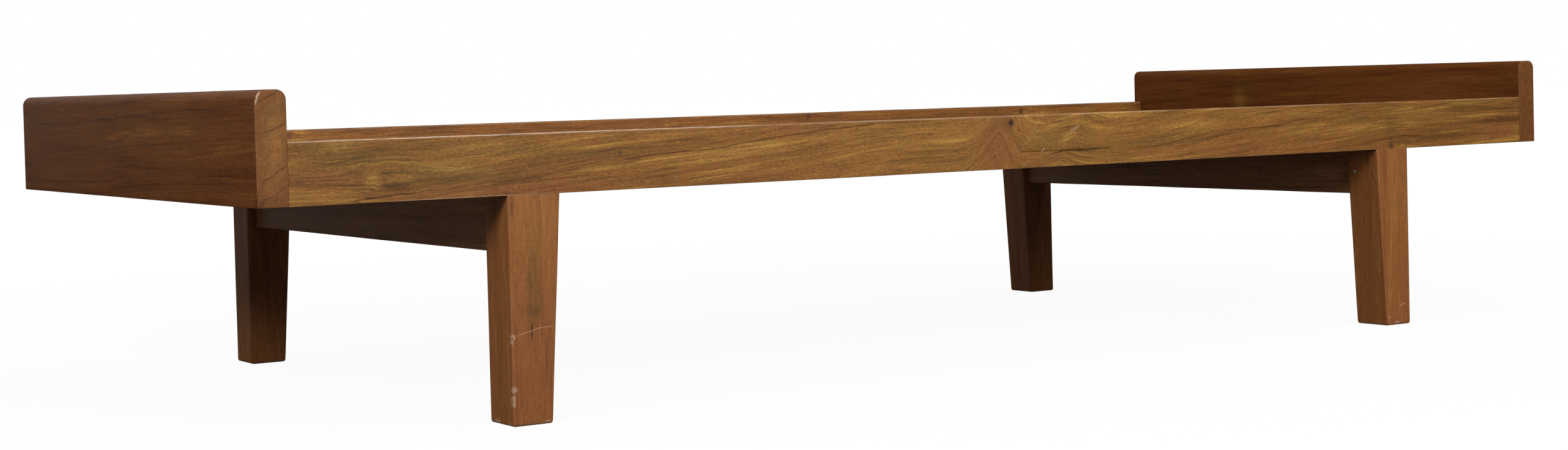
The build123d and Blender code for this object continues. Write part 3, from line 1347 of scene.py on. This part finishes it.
@dataclass
class SideRails:
    """The two shallow side rails; the front one is two lengths joined by a stepped scarf.

    Attributes:
        arris: The radius of the long edges on top; those below have half of it.
        joint_arris: The radius of the edges that the joint leaves open.
        joint_reach: How far along the bed those edges go.
        joint_margin: How far inside the rail's top and bottom their middles are.
        scarf_head: Where the scarf's slope meets the top.
        scarf_foot: Where it meets the seam.
        seam_height: How far above the bottom the level seam runs.
        tongue_end: Where the seam ends.
        tongue_rake: How far the tongue's end slopes from there, along the bed.
        joint_gap: The gap between the two lengths.
        spacing: How fine the front rail's mesh is.
        back_spacing: How fine the back rail's is.
    """

    arris: float = 1.6
    joint_arris: float = 0.2
    joint_reach: float = 60.0
    joint_margin: float = 5.0
    scarf_head: float = 41.0
    scarf_foot: float = -2.0
    seam_height: float = 20.0
    tongue_end: float = 150.0
    tongue_rake: float = 14.0
    joint_gap: float = 0.05
    spacing: float = 2.5
    back_spacing: float = 4.0

    def build(self) -> list[Piece]:
        """Build all three lengths of rail.

        Returns:
            The pieces.
        """
        left = box_mm("end_board_left")[1].x
        right = box_mm("end_board_right")[0].x
        low, high = box_mm("front_rail_long")
        bottom, top = low.z, high.z
        seam, gap = bottom + self.seam_height, self.joint_gap
        long_outline = [
            (left, bottom),
            (self.tongue_end + self.tongue_rake, bottom),
            (self.tongue_end, seam),
            (self.scarf_foot, seam),
            (self.scarf_head, top),
            (left, top),
        ]
        short_outline = [
            (right, bottom),
            (right, top),
            (self.scarf_head + gap, top),
            (self.scarf_foot + gap, seam + gap),
            (self.tongue_end + gap, seam + gap),
            (self.tongue_end + self.tongue_rake + gap, bottom),
        ]
        back_outline = [(left, bottom), (right, bottom), (right, top), (left, top)]
        features = self._front_features()
        return [
            self._rail("front_rail_long", long_outline, [*self._crotch(), *features], 3, self.spacing),
            self._rail("front_rail_short", short_outline, features, 3, self.spacing),
            self._rail("back_rail", back_outline, self._back_features(), 5, self.back_spacing),
        ]

    def _rail(
        self, node: str, outline: Sequence[Point], features: Sequence[Feature], seed: int, spacing: float
    ) -> Piece:
        """Build one length of rail.

        Args:
            node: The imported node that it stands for.
            outline: Its outline from the front.
            features: What shows on its face.
            seed: Its place in the log.
            spacing: How fine its mesh is.

        Returns:
            The piece.
        """
        low, high = box_mm(node)
        bm = prism(outline, 1, low.y, high.y)
        bottom, top = low.z, high.z
        round_edges(bm, lambda m, d: runs(d, 0) and m.z > top - NEAR, self.arris, 4, 0.5)
        round_edges(bm, lambda m, d: runs(d, 0) and m.z < bottom + NEAR, self.arris / 2, 3, 0.4)
        inside = (bottom + self.joint_margin, top - self.joint_margin)
        round_edges(
            bm,
            lambda m, d: m.x < self.joint_reach and inside[0] < m.z < inside[1] and abs(d.z) > 0.3,
            self.joint_arris,
            segments=1,
            wear_and_highlight=0.0,
        )
        slice_mesh(bm, spacing, (0, 2))
        return Timber(node, bm, Grain.ALONG_BED, RAIL_TEAK, features, seed, waviness=0.2, meander=9.0).finish()

    @staticmethod
    def _crotch() -> list[Feature]:
        """The hairpin grain at the head of the long length, which stops at the joint.

        Returns:
            The hairpin, and the burr round it.
        """
        return [Crotch(Side.FRONT, -36, 23, 54, 0.3, 0.3), Curl(Side.FRONT, (-10, 286), (44, 40), 6.5)]

    @staticmethod
    def _front_features() -> list[Feature]:
        """What shows on the front rail's face, which both lengths share.

        Returns:
            Its growth lines, cracks, scratches, painted highlights along the top edge and the scarf, knots,
            figured grain and patches.
        """
        front = Side.FRONT
        lines = {
            # Long growth lines that climb to the top edge.
            Trace.STREAK: (
                (
                    (
                        (-610, 285), (-548, 288), (-508, 291), (-450, 294), (-391, 301),
                        (-340, 306), (-296, 310), (-251, 313), (-205, 315), (-120, 316),
                    ),
                    1.6,
                    1.0,
                ),
                (
                    (
                        (170, 268), (245, 274), (312, 284), (369, 289), (450, 292),
                        (498, 298), (571, 302), (646, 309), (672, 312), (750, 315),
                    ),
                    1.6,
                    0.9,
                ),
                (((318, 308), (345, 309), (369, 311)), 1.6, 0.6),
                (((60, 300), (107, 304), (170, 309), (230, 310)), 1.6, 0.5),
                (((-966, 297), (-945, 297), (-919, 295), (-880, 300)), 1.8, 0.5),
                (((-760, 262), (-739, 264), (-665, 274), (-603, 281), (-540, 284)), 3.2, 0.45),
            ),
            # Cracks along the fibres, by the left leg and under the scarf.
            Trace.CRACK: (
                (
                    ((-902, 253.6), (-884, 256.2), (-867, 257.3), (-856, 258.4), (-839, 259.4), (-820, 260.4)),
                    2.0,
                    1.0,
                ),
                (((-822, 261.4), (-812, 262), (-800, 262.4)), 1.1, 0.9),
                (((-786, 263), (-777, 263.4), (-766, 263.4)), 1.0, 0.6),
                (((45, 267), (57, 269), (75, 272), (107, 271), (138, 273)), 1.7, 1.0),
            ),
            # The pale sloping edge of the scarf, a painted highlight; two scratches; a painted highlight with some
            # rubbing along the top edge; and rubbing along the bottom edge.
            Trace.SCRATCH: (
                (((-2, 271), (19, 296), (40, 318)), 0.9, 0.3),
                (((82, 296), (92, 299), (101, 303)), 2.6, 0.4),
                (((34, 271), (42, 278)), 1.2, 0.7),
                # Painted highlight, with some rubbing, along the top front edge.
                (((-964, 318.2), (-900, 318.4), (-700, 318.4), (-520, 318.4), (-380, 318.4)), 1.0, 0.85),
                (((-858, 252.8), (-760, 252.7), (-655, 252.7)), 0.9, 0.5),
            ),
        }
        # Each knot's middle, radius, reach, darkness and bulge; the last ones are pin knots and specks.
        knots = (
            ((-14, 310), 5.0, (17, 11), 1.0, 0.8),
            ((-852, 277), 8.0, (44, 17), 0.0, 0.9),
            ((684, 257), 5.0, (40, 14), 0.6, 0.7),
            ((-577, 292.5), 2.0, (12, 6), 0.9, 0.5),
            ((-583, 290.5), 1.4, (6, 3), 0.7, 0.3),
            ((-459, 280), 1.6, (10, 5), 0.8, 0.5),
            ((-358, 275), 1.5, (10, 5), 0.8, 0.5),
            ((-298, 277.5), 1.2, (6, 3), 0.7, 0.3),
            ((-333, 284), 1.2, (6, 3), 0.6, 0.3),
            ((-267, 288), 1.3, (6, 3), 0.7, 0.3),
            ((-143, 280), 1.3, (6, 3), 0.7, 0.3),
            ((-679, 268.5), 2.2, (10, 5), 0.4, 0.4),
            ((-653, 289), 1.8, (8, 4), 0.5, 0.4),
        )
        # The fibres climb slowly from the left end to the right.
        climb = (
            (-970, 0), (-850, 1), (-760, 6), (-600, 20), (-450, 32), (-300, 45), (-180, 53), (-40, 56),
            (120, 57), (250, 66), (350, 76), (500, 88), (650, 100), (760, 105), (970, 109),
        )
        tints = {
            Tint.GOLD: (
                (-20, 300, 330, 90, 0.3), (-906, 312, 34, 5, 0.7), (-935, 263, 44, 9, 0.35),
                (-752, 306, 46, 6, 0.6), (-789, 285, 50, 7, 0.7), (-873, 275, 10, 9, 0.9),
                (-842, 276, 18, 5, 0.8), (-383, 292, 110, 6, 0.75, 0.08), (-200, 300, 120, 8, 0.5),
                (80, 289, 18, 7, 0.9, 0.6), (300, 298, 80, 5, 0.8, 0.06), (450, 309, 90, 6, 0.6),
                (540, 280, 90, 8, 0.3), (789, 297, 90, 6, 0.4),
            ),
            Tint.OLIVE: (
                (-930, 309, 40, 8, 0.7), (-890, 298, 60, 8, 0.9), (-800, 282, 50, 8, 0.9),
                (-700, 300, 60, 6, 0.6), (-770, 272, 60, 6, 0.9), (-600, 294, 50, 5, 0.5),
                (230, 279, 90, 6, 0.7, 0.05), (50, 290, 24, 10, 0.6), (600, 296, 60, 6, 0.6),
                (683, 285, 14, 28, 0.6), (850, 310, 50, 8, 0.6),
            ),
            Tint.DARK: (
                (-850, 311, 90, 4, 0.5), (-520, 260, 9, 8, 0.4), (-850, 285, 200, 90, 0.12),
                (-858, 282, 10, 4, 0.5), (-850, 267, 20, 6, 0.9), (-872, 262, 20, 4, 0.7),
                (-835, 264, 16, 3, 0.6), (-950, 282, 30, 8, 0.25), (-36, 300, 12, 12, 0.3),
                (95, 273, 40, 4, 0.6), (940, 286, 40, 30, 0.4), (820, 286, 220, 90, 0.24),
                (80, 262, 70, 9, 0.3),
            ),
            # Redder wood by the scarf, at both ends and under the first leg.
            Tint.RED: (
                (-36, 280, 34, 34, 0.95), (20, 262, 40, 8, 0.6), (-930, 278, 34, 9, 0.6),
                (-700, 257, 130, 8, 0.8), (-380, 262, 120, 8, 0.5), (-335, 313, 60, 5, 0.5),
                (420, 266, 200, 9, 0.5), (920, 270, 60, 14, 0.6),
            ),
        }
        return [
            *(Line(trace, front, *row) for trace, rows in lines.items() for row in rows),
            *(Knot(front, *row) for row in knots),
            Curl(front, (-852, 280), (50, 20), 8.0),
            Curl(front, (-760, 286), (26, 8), 3.0),
            Crotch(front, 88, 30, 14, 0.8, 0.3),
            Curl(front, (92, 284), (26, 16), 4.0),
            Sweep(front, climb),
            *patches(front, tints),
        ]

    @staticmethod
    def _back_features() -> list[Feature]:
        """What shows on the back rail's inner face.

        Returns:
            Three knots, a growth line, and its patches.
        """
        inner = Side.FRONT
        tints = {
            Tint.DARK: ((-426, 315, 50, 5, 0.7), (500, 300, 700, 80, 0.2), (-6, 306, 14, 3, 0.8)),
            Tint.RED: ((100, 300, 700, 80, 0.4),),
        }
        return [
            Knot(inner, (241, 313), 5.0, (26, 8), 0.7),
            Knot(inner, (686, 309), 6.0, (40, 12), 0.7),
            Knot(inner, (-640, 312), 6.0, (30, 10), 0.4),
            Line(Trace.STREAK, inner, ((120, 317), (180, 314), (260, 312), (330, 316)), 2.2, 0.7),
            *patches(inner, tints),
        ]


@dataclass
class Legs:
    """Four tapered legs, notched at the top so that a tongue rises inside the rail.

    Attributes:
        foot_width: Their width at the floor.
        notch_depth: How deep the notch is that the rail sits on.
        arris: The radius of the upright edges.
        foot_round: The radius of the edges at the floor.
        spacing: How fine the mesh is.
    """

    foot_width: float = 48.0
    notch_depth: float = 18.0
    arris: float = 1.6
    foot_round: float = 3.2
    spacing: float = 4.0

    def build(self) -> list[Piece]:
        """Build the four legs.

        Returns:
            The pieces.
        """
        # Painted shade: the front faces of the back legs are darkened, most in their lower half, where the slatted
        # base shades them.
        back = patches(Side.FRONT, {Tint.DARK: ((-690, 90, 90, 150, 0.4), (690, 90, 90, 150, 0.4))})
        features = [self._front_left_features(), self._front_right_features(), back, back]
        return [self._leg(node, features[i], seed=6 + i) for i, node in enumerate(LEGS)]

    def _leg(self, node: str, features: Sequence[Feature], seed: int) -> Piece:
        """Build one leg: tapered towards its foot, with a tongue raised beside the notch.

        Args:
            node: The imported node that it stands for.
            features: What shows on its faces.
            seed: Its place in the log.

        Returns:
            The piece.
        """
        low, high = box_mm(node)
        shoulder = box_mm("back_rail")[0].z
        end, side = math.copysign(1, low.x), math.copysign(1, low.y)
        outer, inner = (high.x, low.x) if end > 0 else (low.x, high.x)
        taper = (high.x - low.x - self.foot_width) * end
        outline = [(outer, low.z), (inner + taper, low.z), (inner, shoulder), (outer, shoulder)]
        bm = prism(outline, 1, low.y, high.y)
        notch = (high.y if side > 0 else low.y) - side * self.notch_depth
        cut_mesh(bm, 1, notch)
        tongue = [f for f in bm.faces if f.normal.z > 0.9 and side * (f.calc_center_median().y / MM - notch) < 0]
        raise_faces(bm, tongue, 2, high.z - shoulder)
        bmesh.ops.delete(bm, geom=tongue, context="FACES")
        bmesh.ops.dissolve_limit(bm, angle_limit=0.01, verts=bm.verts, edges=bm.edges)
        round_edges(bm, lambda m, d: m.z < NEAR, self.foot_round, wear_and_highlight=0.4)
        round_edges(bm, lambda m, d: runs(d, 2) and m.z < shoulder, self.arris, wear_and_highlight=0.25)
        slice_mesh(bm, self.spacing, (2, 0, 1))
        return Timber(node, bm, Grain.UPRIGHT, LEG_TEAK, features, seed, waviness=0.25, meander=5.0).finish()

    @staticmethod
    def _front_left_features() -> list[Feature]:
        """What shows on the front left leg: an olive stain with a knot in it, and chipped edges.

        Returns:
            Its knot, cracks, scratch and patches.
        """
        front, out = Side.FRONT, Side.LEFT
        tints = {
            Tint.OLIVE: ((-690, 158, 8, 46, 0.8), (-690, 127, 8, 12, 1.0)),
            Tint.DARK: ((-690, 126, 6, 11, 0.35), (-690, 30, 60, 60, 0.1), (-714, 238, 3, 14, 0.7)),
            Tint.GOLD: ((-690, 235, 60, 60, 0.2),),
            Tint.RED: ((-700, 90, 40, 60, 0.3),),
            Tint.CHIPPED: (
                (-716, 98, 4, 4, 0.9),
                (-717, 90, 3, 3, 0.85),
                (-716, 40, 3.5, 5, 0.95),
                (-717, 28, 2.4, 10, 0.9),
                (-676, 3, 5, 3, 0.8),
            ),
        }
        chips = ((-417, 40, 3, 5, 0.9), (-380, 3, 12, 3, 0.9), (-410, 2, 7, 3, 0.85))
        return [
            Knot(front, (-690, 124), 3.6, (9, 16), 0.35, 0.7),
            Line(Trace.CRACK, front, ((-692, 113), (-693, 104), (-693, 93)), 1.6, 1.0),
            Line(Trace.SCRATCH, front, ((-712, 99), (-699, 102), (-684, 106), (-664, 106)), 0.9, 0.5),
            Line(Trace.CRACK, out, ((-398, 3), (-398, 12)), 1.4, 0.8),
            *patches(front, tints),
            *patches(out, {Tint.CHIPPED: chips}),
        ]

    @staticmethod
    def _front_right_features() -> list[Feature]:
        """What shows on the front right leg: growth lines on its inner side, and a chipped foot.

        Returns:
            Its growth lines, scratch and patches.
        """
        inner, front = Side.LEFT, Side.FRONT
        chips = ((674, 12, 3, 3, 0.9), (690, 4, 10, 3, 0.8))
        return [
            Line(Trace.STREAK, inner, ((-400, 250), (-405, 225), (-412, 205), (-419, 196)), 2.4, 0.55),
            Line(Trace.STREAK, inner, ((-376, 150), (-376, 110), (-383, 80), (-388, 40)), 2.2, 0.6),
            Line(Trace.SCRATCH, front, ((696, 26), (702, 29), (708, 30)), 2.0, 0.5),
            *patches(inner, {Tint.DARK: ((-385, 28, 3, 8, 0.7), (-405, 30, 10, 22, 0.35))}),
            *patches(front, {Tint.GOLD: ((690, 170, 16, 90, 0.25),), Tint.CHIPPED: chips}),
        ]


@dataclass
class CrossRails:
    """The two rails that tie the legs of each pair together.

    Attributes:
        arris: The radius of their long edges.
        spacing: How fine the mesh is.
    """

    arris: float = 1.5
    spacing: float = 6.0

    def build(self) -> list[Piece]:
        """Build both cross rails, up to the faces of the legs.

        Returns:
            The pieces.
        """
        near = box_mm("leg_front_left")[1].y
        far = box_mm("leg_back_left")[0].y
        found = []
        for seed, node in enumerate(("cross_rail_left", "cross_rail_right"), 11):
            low, high = box_mm(node)
            low.y, high.y = near, far
            bm = beam(low, high, 1)
            round_edges(bm, lambda m, d: runs(d, 1), self.arris)
            slice_mesh(bm, self.spacing, (1, 2, 0))
            found.append(Timber(node, bm, Grain.ACROSS_BED, CROSS_RAIL_TEAK, (), seed, waviness=0.3).finish())
        return found


@dataclass
class SlattedBase:
    """Planed slats across the bed, and the ledgers inside the rails that carry them.

    Attributes:
        nodes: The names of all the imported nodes, to pick the slats and ledgers from.
        arris: The radius of the long edges.
        spacing: How fine the mesh is.
    """

    nodes: Sequence[str]
    arris: float = 1.5
    spacing: float = 9.0

    def build(self) -> list[Piece]:
        """Build every slat and ledger that the frame has.

        Returns:
            The pieces.
        """
        slats = sorted(node for node in self.nodes if node.startswith("slat_"))
        ledgers = sorted(node for node in self.nodes if node.startswith("ledger_"))
        return [
            *(self._strip(node, Grain.ACROSS_BED, (1, 0), seed) for seed, node in enumerate(slats, 20)),
            *(self._strip(node, Grain.ALONG_BED, (0, 2), seed) for seed, node in enumerate(ledgers, 50)),
        ]

    def _strip(self, node: str, grain: Grain, axes: tuple[int, int], seed: int) -> Piece:
        """Build one slat or ledger.

        Args:
            node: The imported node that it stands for.
            grain: Which way its fibres run.
            axes: The axis that it runs along, and the axis of its width.
            seed: Its place in the log.

        Returns:
            The piece.
        """
        bm = beam(*box_mm(node), axes[0])
        round_edges(bm, lambda m, d: runs(d, axes[0]), self.arris, 2)
        slice_mesh(bm, self.spacing, axes)
        return Timber(node, bm, grain, SLAT_TEAK, (), seed, waviness=0.25).finish()


@dataclass
class Fastenings:
    """Steel that shows: a domed pin through each tenon, and two slotted screws in each leg's tongue.

    Attributes:
        pin_radius: A pin's radius.
        pin_dome: How far its round end stands out of the leg.
        pin_depth: How deep it is drawn; the rest is out of sight.
        pin_setback: From a leg's inner side face to the pin.
        head_radius: A screw head's radius.
        head_edge: The small chamfer round the head.
        head_depth: How deep its countersunk cone is.
        head_sink: How far the head sits below the wood.
        shank_radius: The screw's radius below its head.
        shank_depth: How deep it is drawn.
        slot: The driver slot's width and depth.
        screw_spacing: Between the two screws in a leg.
        turn: How far each one is turned from the last, in radians, as if driven by hand.
        crease: The angle, in degrees, above which two faces meet in a sharp edge.
        sides: Steps in a full turn.
    """

    pin_radius: float = 2.45
    pin_dome: float = 0.8
    pin_depth: float = 5.0
    pin_setback: float = 12.5
    head_radius: float = 4.75
    head_edge: float = 0.25
    head_depth: float = 2.3
    head_sink: float = 0.3
    shank_radius: float = 2.4
    shank_depth: float = 14.0
    slot: tuple[float, float] = (1.1, 1.3)
    screw_spacing: float = 32.0
    turn: float = 1.9
    crease: float = 35.0
    sides: int = 32

    def build(self) -> list[Piece]:
        """Build the pins and the screws, one piece each.

        Returns:
            The two pieces.
        """
        pins, screws = [], []
        rail_low, rail_high = box_mm("cross_rail_left")
        shoulder = box_mm("back_rail")[0].z
        for leg in LEGS:
            low, high = box_mm(leg)
            end, side = math.copysign(1, low.x), math.copysign(1, low.y)
            inner_x, inner_y = (low.x if end > 0 else high.x), (low.y if side > 0 else high.y)
            taper = (high.x - low.x - Legs.foot_width) / shoulder
            pin_z = (rail_low.z + rail_high.z) / 2
            pin_x = inner_x + end * taper * (shoulder - pin_z)
            pins.append((Vector((pin_x, inner_y + side * self.pin_setback, pin_z)), Vector((-end, 0, -taper))))
            for step in (-0.5, 0.5):
                x = (low.x + high.x) / 2 + step * self.screw_spacing
                place = Vector((x, inner_y + side * self.head_sink, (shoulder + high.z) / 2))
                screws.append((place, Vector((0, -side, 0))))
        return [
            self._place("tenon_pins", self._pin(), pins, PIN_STEEL),
            self._place("leg_screws", self._screw(), screws, SCREW_STEEL),
        ]

    def _turned(self, profile: Sequence[Point]) -> Solid:
        """Spin a profile about Z into a closed solid.

        Args:
            profile: Radii and heights, from the axis round to the axis again.

        Returns:
            The solid.
        """
        bm = bmesh.new()
        points = [bm.verts.new((radius * MM, 0, height * MM)) for radius, height in profile]
        edges = [bm.edges.new(pair) for pair in zip(points, points[1:])]
        bmesh.ops.spin(
            bm,
            geom=points + edges,
            cent=(0, 0, 0),
            axis=(0, 0, 1),
            dvec=(0, 0, 0),
            angle=math.tau,
            steps=self.sides,
            use_merge=True,
        )
        bmesh.ops.remove_doubles(bm, verts=bm.verts, dist=1e-6)
        bmesh.ops.recalc_face_normals(bm, faces=bm.faces)
        return bm

    def _pin(self) -> Solid:
        """Make a round pin with a hammered, domed end.

        Returns:
            The pin, with the wood's surface at its origin.
        """
        turns = [math.radians(angle) for angle in range(0, 91, 18)]
        rise = [(self.pin_radius * math.sin(a), self.pin_dome * math.cos(a)) for a in turns]
        return self._turned([*rise, (self.pin_radius, -self.pin_depth), (0, -self.pin_depth)])

    def _screw(self) -> Solid:
        """Make a countersunk screw with a straight driver slot cut into its head.

        Returns:
            The screw, with its head's face at its origin.
        """
        head, edge, shank = self.head_radius, self.head_edge, self.shank_radius
        cone = [(0, 0), (head / 2, 0), (head - edge, 0), (head, -edge), (shank, -self.head_depth)]
        bm = self._turned([*cone, (shank, -self.shank_depth), (0, -self.shank_depth)])
        width, depth = self.slot
        for x in (-width / 2, width / 2):
            cut_mesh(bm, 0, x)
        floor = [f for f in bm.faces if f.normal.z > 0.9 and abs(f.calc_center_median().x) < width / 2 * MM]
        raise_faces(bm, floor, 2, -depth)
        bmesh.ops.delete(bm, geom=floor, context="FACES")
        bmesh.ops.recalc_face_normals(bm, faces=bm.faces)
        return bm

    def _place(
        self, node: str, part: Solid, places: Sequence[tuple[Vector, Vector]], steel: SteelFinish
    ) -> Piece:
        """Put a copy of one fastening at each place, and make them one piece.

        Args:
            node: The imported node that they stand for.
            part: The fastening, pointing out of the wood along Z.
            places: Where each one enters the wood, in millimetres, and which way it faces.
            steel: Their finish.

        Returns:
            The piece.
        """
        pattern = bpy.data.meshes.new(node + "_pattern")
        part.to_mesh(pattern)
        part.free()
        bm = bmesh.new()
        for count, (place, facing) in enumerate(places):
            start = len(bm.verts)
            bm.from_mesh(pattern)
            bm.verts.ensure_lookup_table()
            pose = Matrix.Translation(place * MM) @ facing.to_track_quat("Z", "Y").to_matrix().to_4x4()
            pose = pose @ Matrix.Rotation(count * self.turn, 4, "Z")
            bmesh.ops.transform(bm, matrix=pose, verts=bm.verts[start:])
        bpy.data.meshes.remove(pattern)
        piece = stand_in(node, "_steel", bm, steel)
        piece.data.set_sharp_from_angle(angle=math.radians(self.crease))
        return piece


# ---------------------------------------------------------------- studio
@dataclass(frozen=True)
class Lamp:
    """A softbox, which faces the bed.

    Attributes:
        name: Its name.
        place: Where it stands, in metres.
        size: How wide and high it is, in metres.
        power: Its power in watts.
    """

    name: str
    place: tuple[float, float, float]
    size: tuple[float, float]
    power: float

    def hang(self, aim: Vector) -> None:
        """Put the lamp in the scene, hidden from the camera.

        Args:
            aim: The place that it faces.
        """
        light = bpy.data.lights.new(self.name, "AREA")
        light.shape = "RECTANGLE"
        light.size, light.size_y = self.size
        light.energy = self.power
        holder = put(self.name, light)
        holder.location = self.place
        holder.rotation_euler = (aim - Vector(self.place)).to_track_quat("-Z", "Y").to_euler()
        holder.visible_camera = False


@dataclass(frozen=True)
class Camera:
    """A camera low in front of the bed's left end, looking along it.

    Attributes:
        place: Where it stands, in millimetres.
        turn: How far it is turned from straight ahead towards the right end, in degrees.
        climb: How far it looks up, in degrees.
        roll: How far it leans, in degrees.
        lens: Its focal length on a sensor 36 mm wide.
        shift: How far the frame is shifted upwards, as a share of its width.
    """

    place: tuple[float, float, float] = (-1836.6, -2627.4, 363.5)
    turn: float = 33.827
    climb: float = -1.542
    roll: float = -1.4385
    lens: float = 52.215
    shift: float = -0.0498

    def set_up(self) -> None:
        """Put the camera in the scene."""
        data = bpy.data.cameras.new("camera")
        data.sensor_width = 36.0
        data.lens = self.lens
        data.shift_y = self.shift
        camera = put("camera", data)
        turn, climb, roll = (math.radians(angle) for angle in (self.turn, self.climb, self.roll))
        ahead = Vector((math.sin(turn) * math.cos(climb), math.cos(turn) * math.cos(climb), math.sin(climb)))
        level = Vector((math.cos(turn), -math.sin(turn), 0.0))
        above = level.cross(ahead)
        right = level * math.cos(roll) + above * math.sin(roll)
        up = above * math.cos(roll) - level * math.sin(roll)
        pose = Matrix((right, up, -ahead)).transposed().to_4x4()
        pose.translation = Vector(self.place) * MM
        camera.matrix_world = pose
        bpy.context.scene.camera = camera


@dataclass
class Studio:
    """A plain white floor, soft lamps, and the camera.

    Attributes:
        lamps: The softboxes.
        camera: The camera.
        aim: The place that the lamps face, in metres.
        ambient: Light from all round, for everything but sheen.
        sheen: How bright the room looks in the wood's sheen.
        floor_size: From the floor's middle to its edges, in metres.
        glow: How white the floor is near the bed, and far from it.
        glow_reach: Where the one passes into the other, in metres from the middle.
        shade: How much of the bed's shadow the camera sees on the floor.
        bounce: What the floor throws back at the bed.
    """

    lamps: Sequence[Lamp] = (
        Lamp("left", (-3.0, -1.9, 1.9), (1.2, 1.0), 60.0),
        Lamp("right", (1.4, -3.6, 1.9), (1.4, 1.0), 60.0),
        Lamp("front", (-0.2, -3.8, 1.4), (1.4, 1.0), 28.0),
        Lamp("top", (0.0, -0.3, 3.2), (3.0, 1.6), 26.0),
        Lamp("back", (0.6, 4.0, 1.3), (6.0, 2.4), 40.0),
    )
    camera: Camera = Camera()
    aim: tuple[float, float, float] = (0.0, 0.0, 0.25)
    ambient: float = 0.23
    sheen: float = 0.05
    floor_size: float = 40.0
    glow: tuple[float, float] = (0.95, 1.0)
    glow_reach: tuple[float, float] = (1.0, 3.5)
    shade: str = "404040"
    bounce: str = "616161"

    def build(self) -> None:
        """Make the floor, the world, the lamps and the camera."""
        self._floor()
        self._world()
        for lamp in self.lamps:
            lamp.hang(Vector(self.aim))
        self.camera.set_up()

    def _floor(self) -> None:
        """Lay a floor of plain white paper: matt, without grain or gloss, so that it shows only shadow.

        Its white is a glow that only the camera sees, so that no light from it reaches the bed.
        """
        bm = bmesh.new()
        bmesh.ops.create_grid(bm, x_segments=1, y_segments=1, size=self.floor_size)
        mesh = bpy.data.meshes.new("floor")
        bm.to_mesh(mesh)
        bm.free()
        floor = put("floor", mesh)
        made = bpy.data.materials.new("floor_white_paper")
        tree = empty_tree(made)
        away = add(tree, "VectorMath", {0: add(tree, "TexCoord").outputs["Object"]}, operation="LENGTH")
        near, far = self.glow_reach
        ramp = {"From Min": near, "From Max": far, "To Min": self.glow[0], "To Max": self.glow[1]}
        glow = add(
            tree, "MapRange", {"Value": away.outputs["Value"], **ramp}, interpolation_type="SMOOTHSTEP"
        )
        white = add(tree, "Emission", {"Color": (1, 1, 1, 1), "Strength": glow})
        shade = add(tree, "BsdfDiffuse", {"Color": linear(self.shade)})
        shown = add(tree, "AddShader", {0: shade, 1: white})
        bounce = add(tree, "BsdfDiffuse", {"Color": linear(self.bounce)})
        seen = add(tree, "LightPath").outputs["Is Camera Ray"]
        mix = add(tree, "MixShader", {0: seen, 1: bounce, 2: shown})
        add(tree, "OutputMaterial", {"Surface": mix})
        mesh.materials.append(made)
        floor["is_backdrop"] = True

    def _world(self) -> None:
        """Light the room: white to the camera, dim in the wood's sheen, soft everywhere else."""
        world = bpy.data.worlds.new("studio")
        bpy.context.scene.world = world
        tree = empty_tree(world)
        path = add(tree, "LightPath")
        dim = {"Value": path.outputs["Is Glossy Ray"], "To Min": self.ambient, "To Max": self.sheen}
        unseen = add(tree, "MapRange", dim)
        light = {0: path.outputs["Is Camera Ray"], 2: unseen, 3: 1.0}
        strength = add(tree, "Mix", light, data_type="FLOAT")
        room = add(tree, "Background", {"Color": (1, 1, 1, 1), "Strength": strength})
        add(tree, "OutputWorld", {"Surface": room})


def as_list(corners: Iterable[Vector]) -> list[list[float]]:
    """Corners as plain lists of numbers."""
    return [list(map(float, corner)) for corner in corners]


def main(record: dict, before: list[list[float]]) -> None:
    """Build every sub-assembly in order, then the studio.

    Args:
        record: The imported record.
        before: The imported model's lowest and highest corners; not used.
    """
    logging.basicConfig(level=logging.INFO, format="%(name)s %(message)s")
    bpy.context.scene.view_settings.view_transform = "Standard"
    # Unseeded, noise_vector follows the clock, and the planed faces would differ from run to run.
    noise.seed_set(PLANE_SEED)
    base = SlattedBase([subpart["node"] for subpart in record["subparts"]])
    for part in (EndBoards(), SideRails(), Legs(), CrossRails(), base, Fastenings()):
        part.build()
        log.info("%s built", type(part).__name__)
    Studio().build()


if __name__ == "__main__":
    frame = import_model()
    main(frame["record"], as_list(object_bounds()))
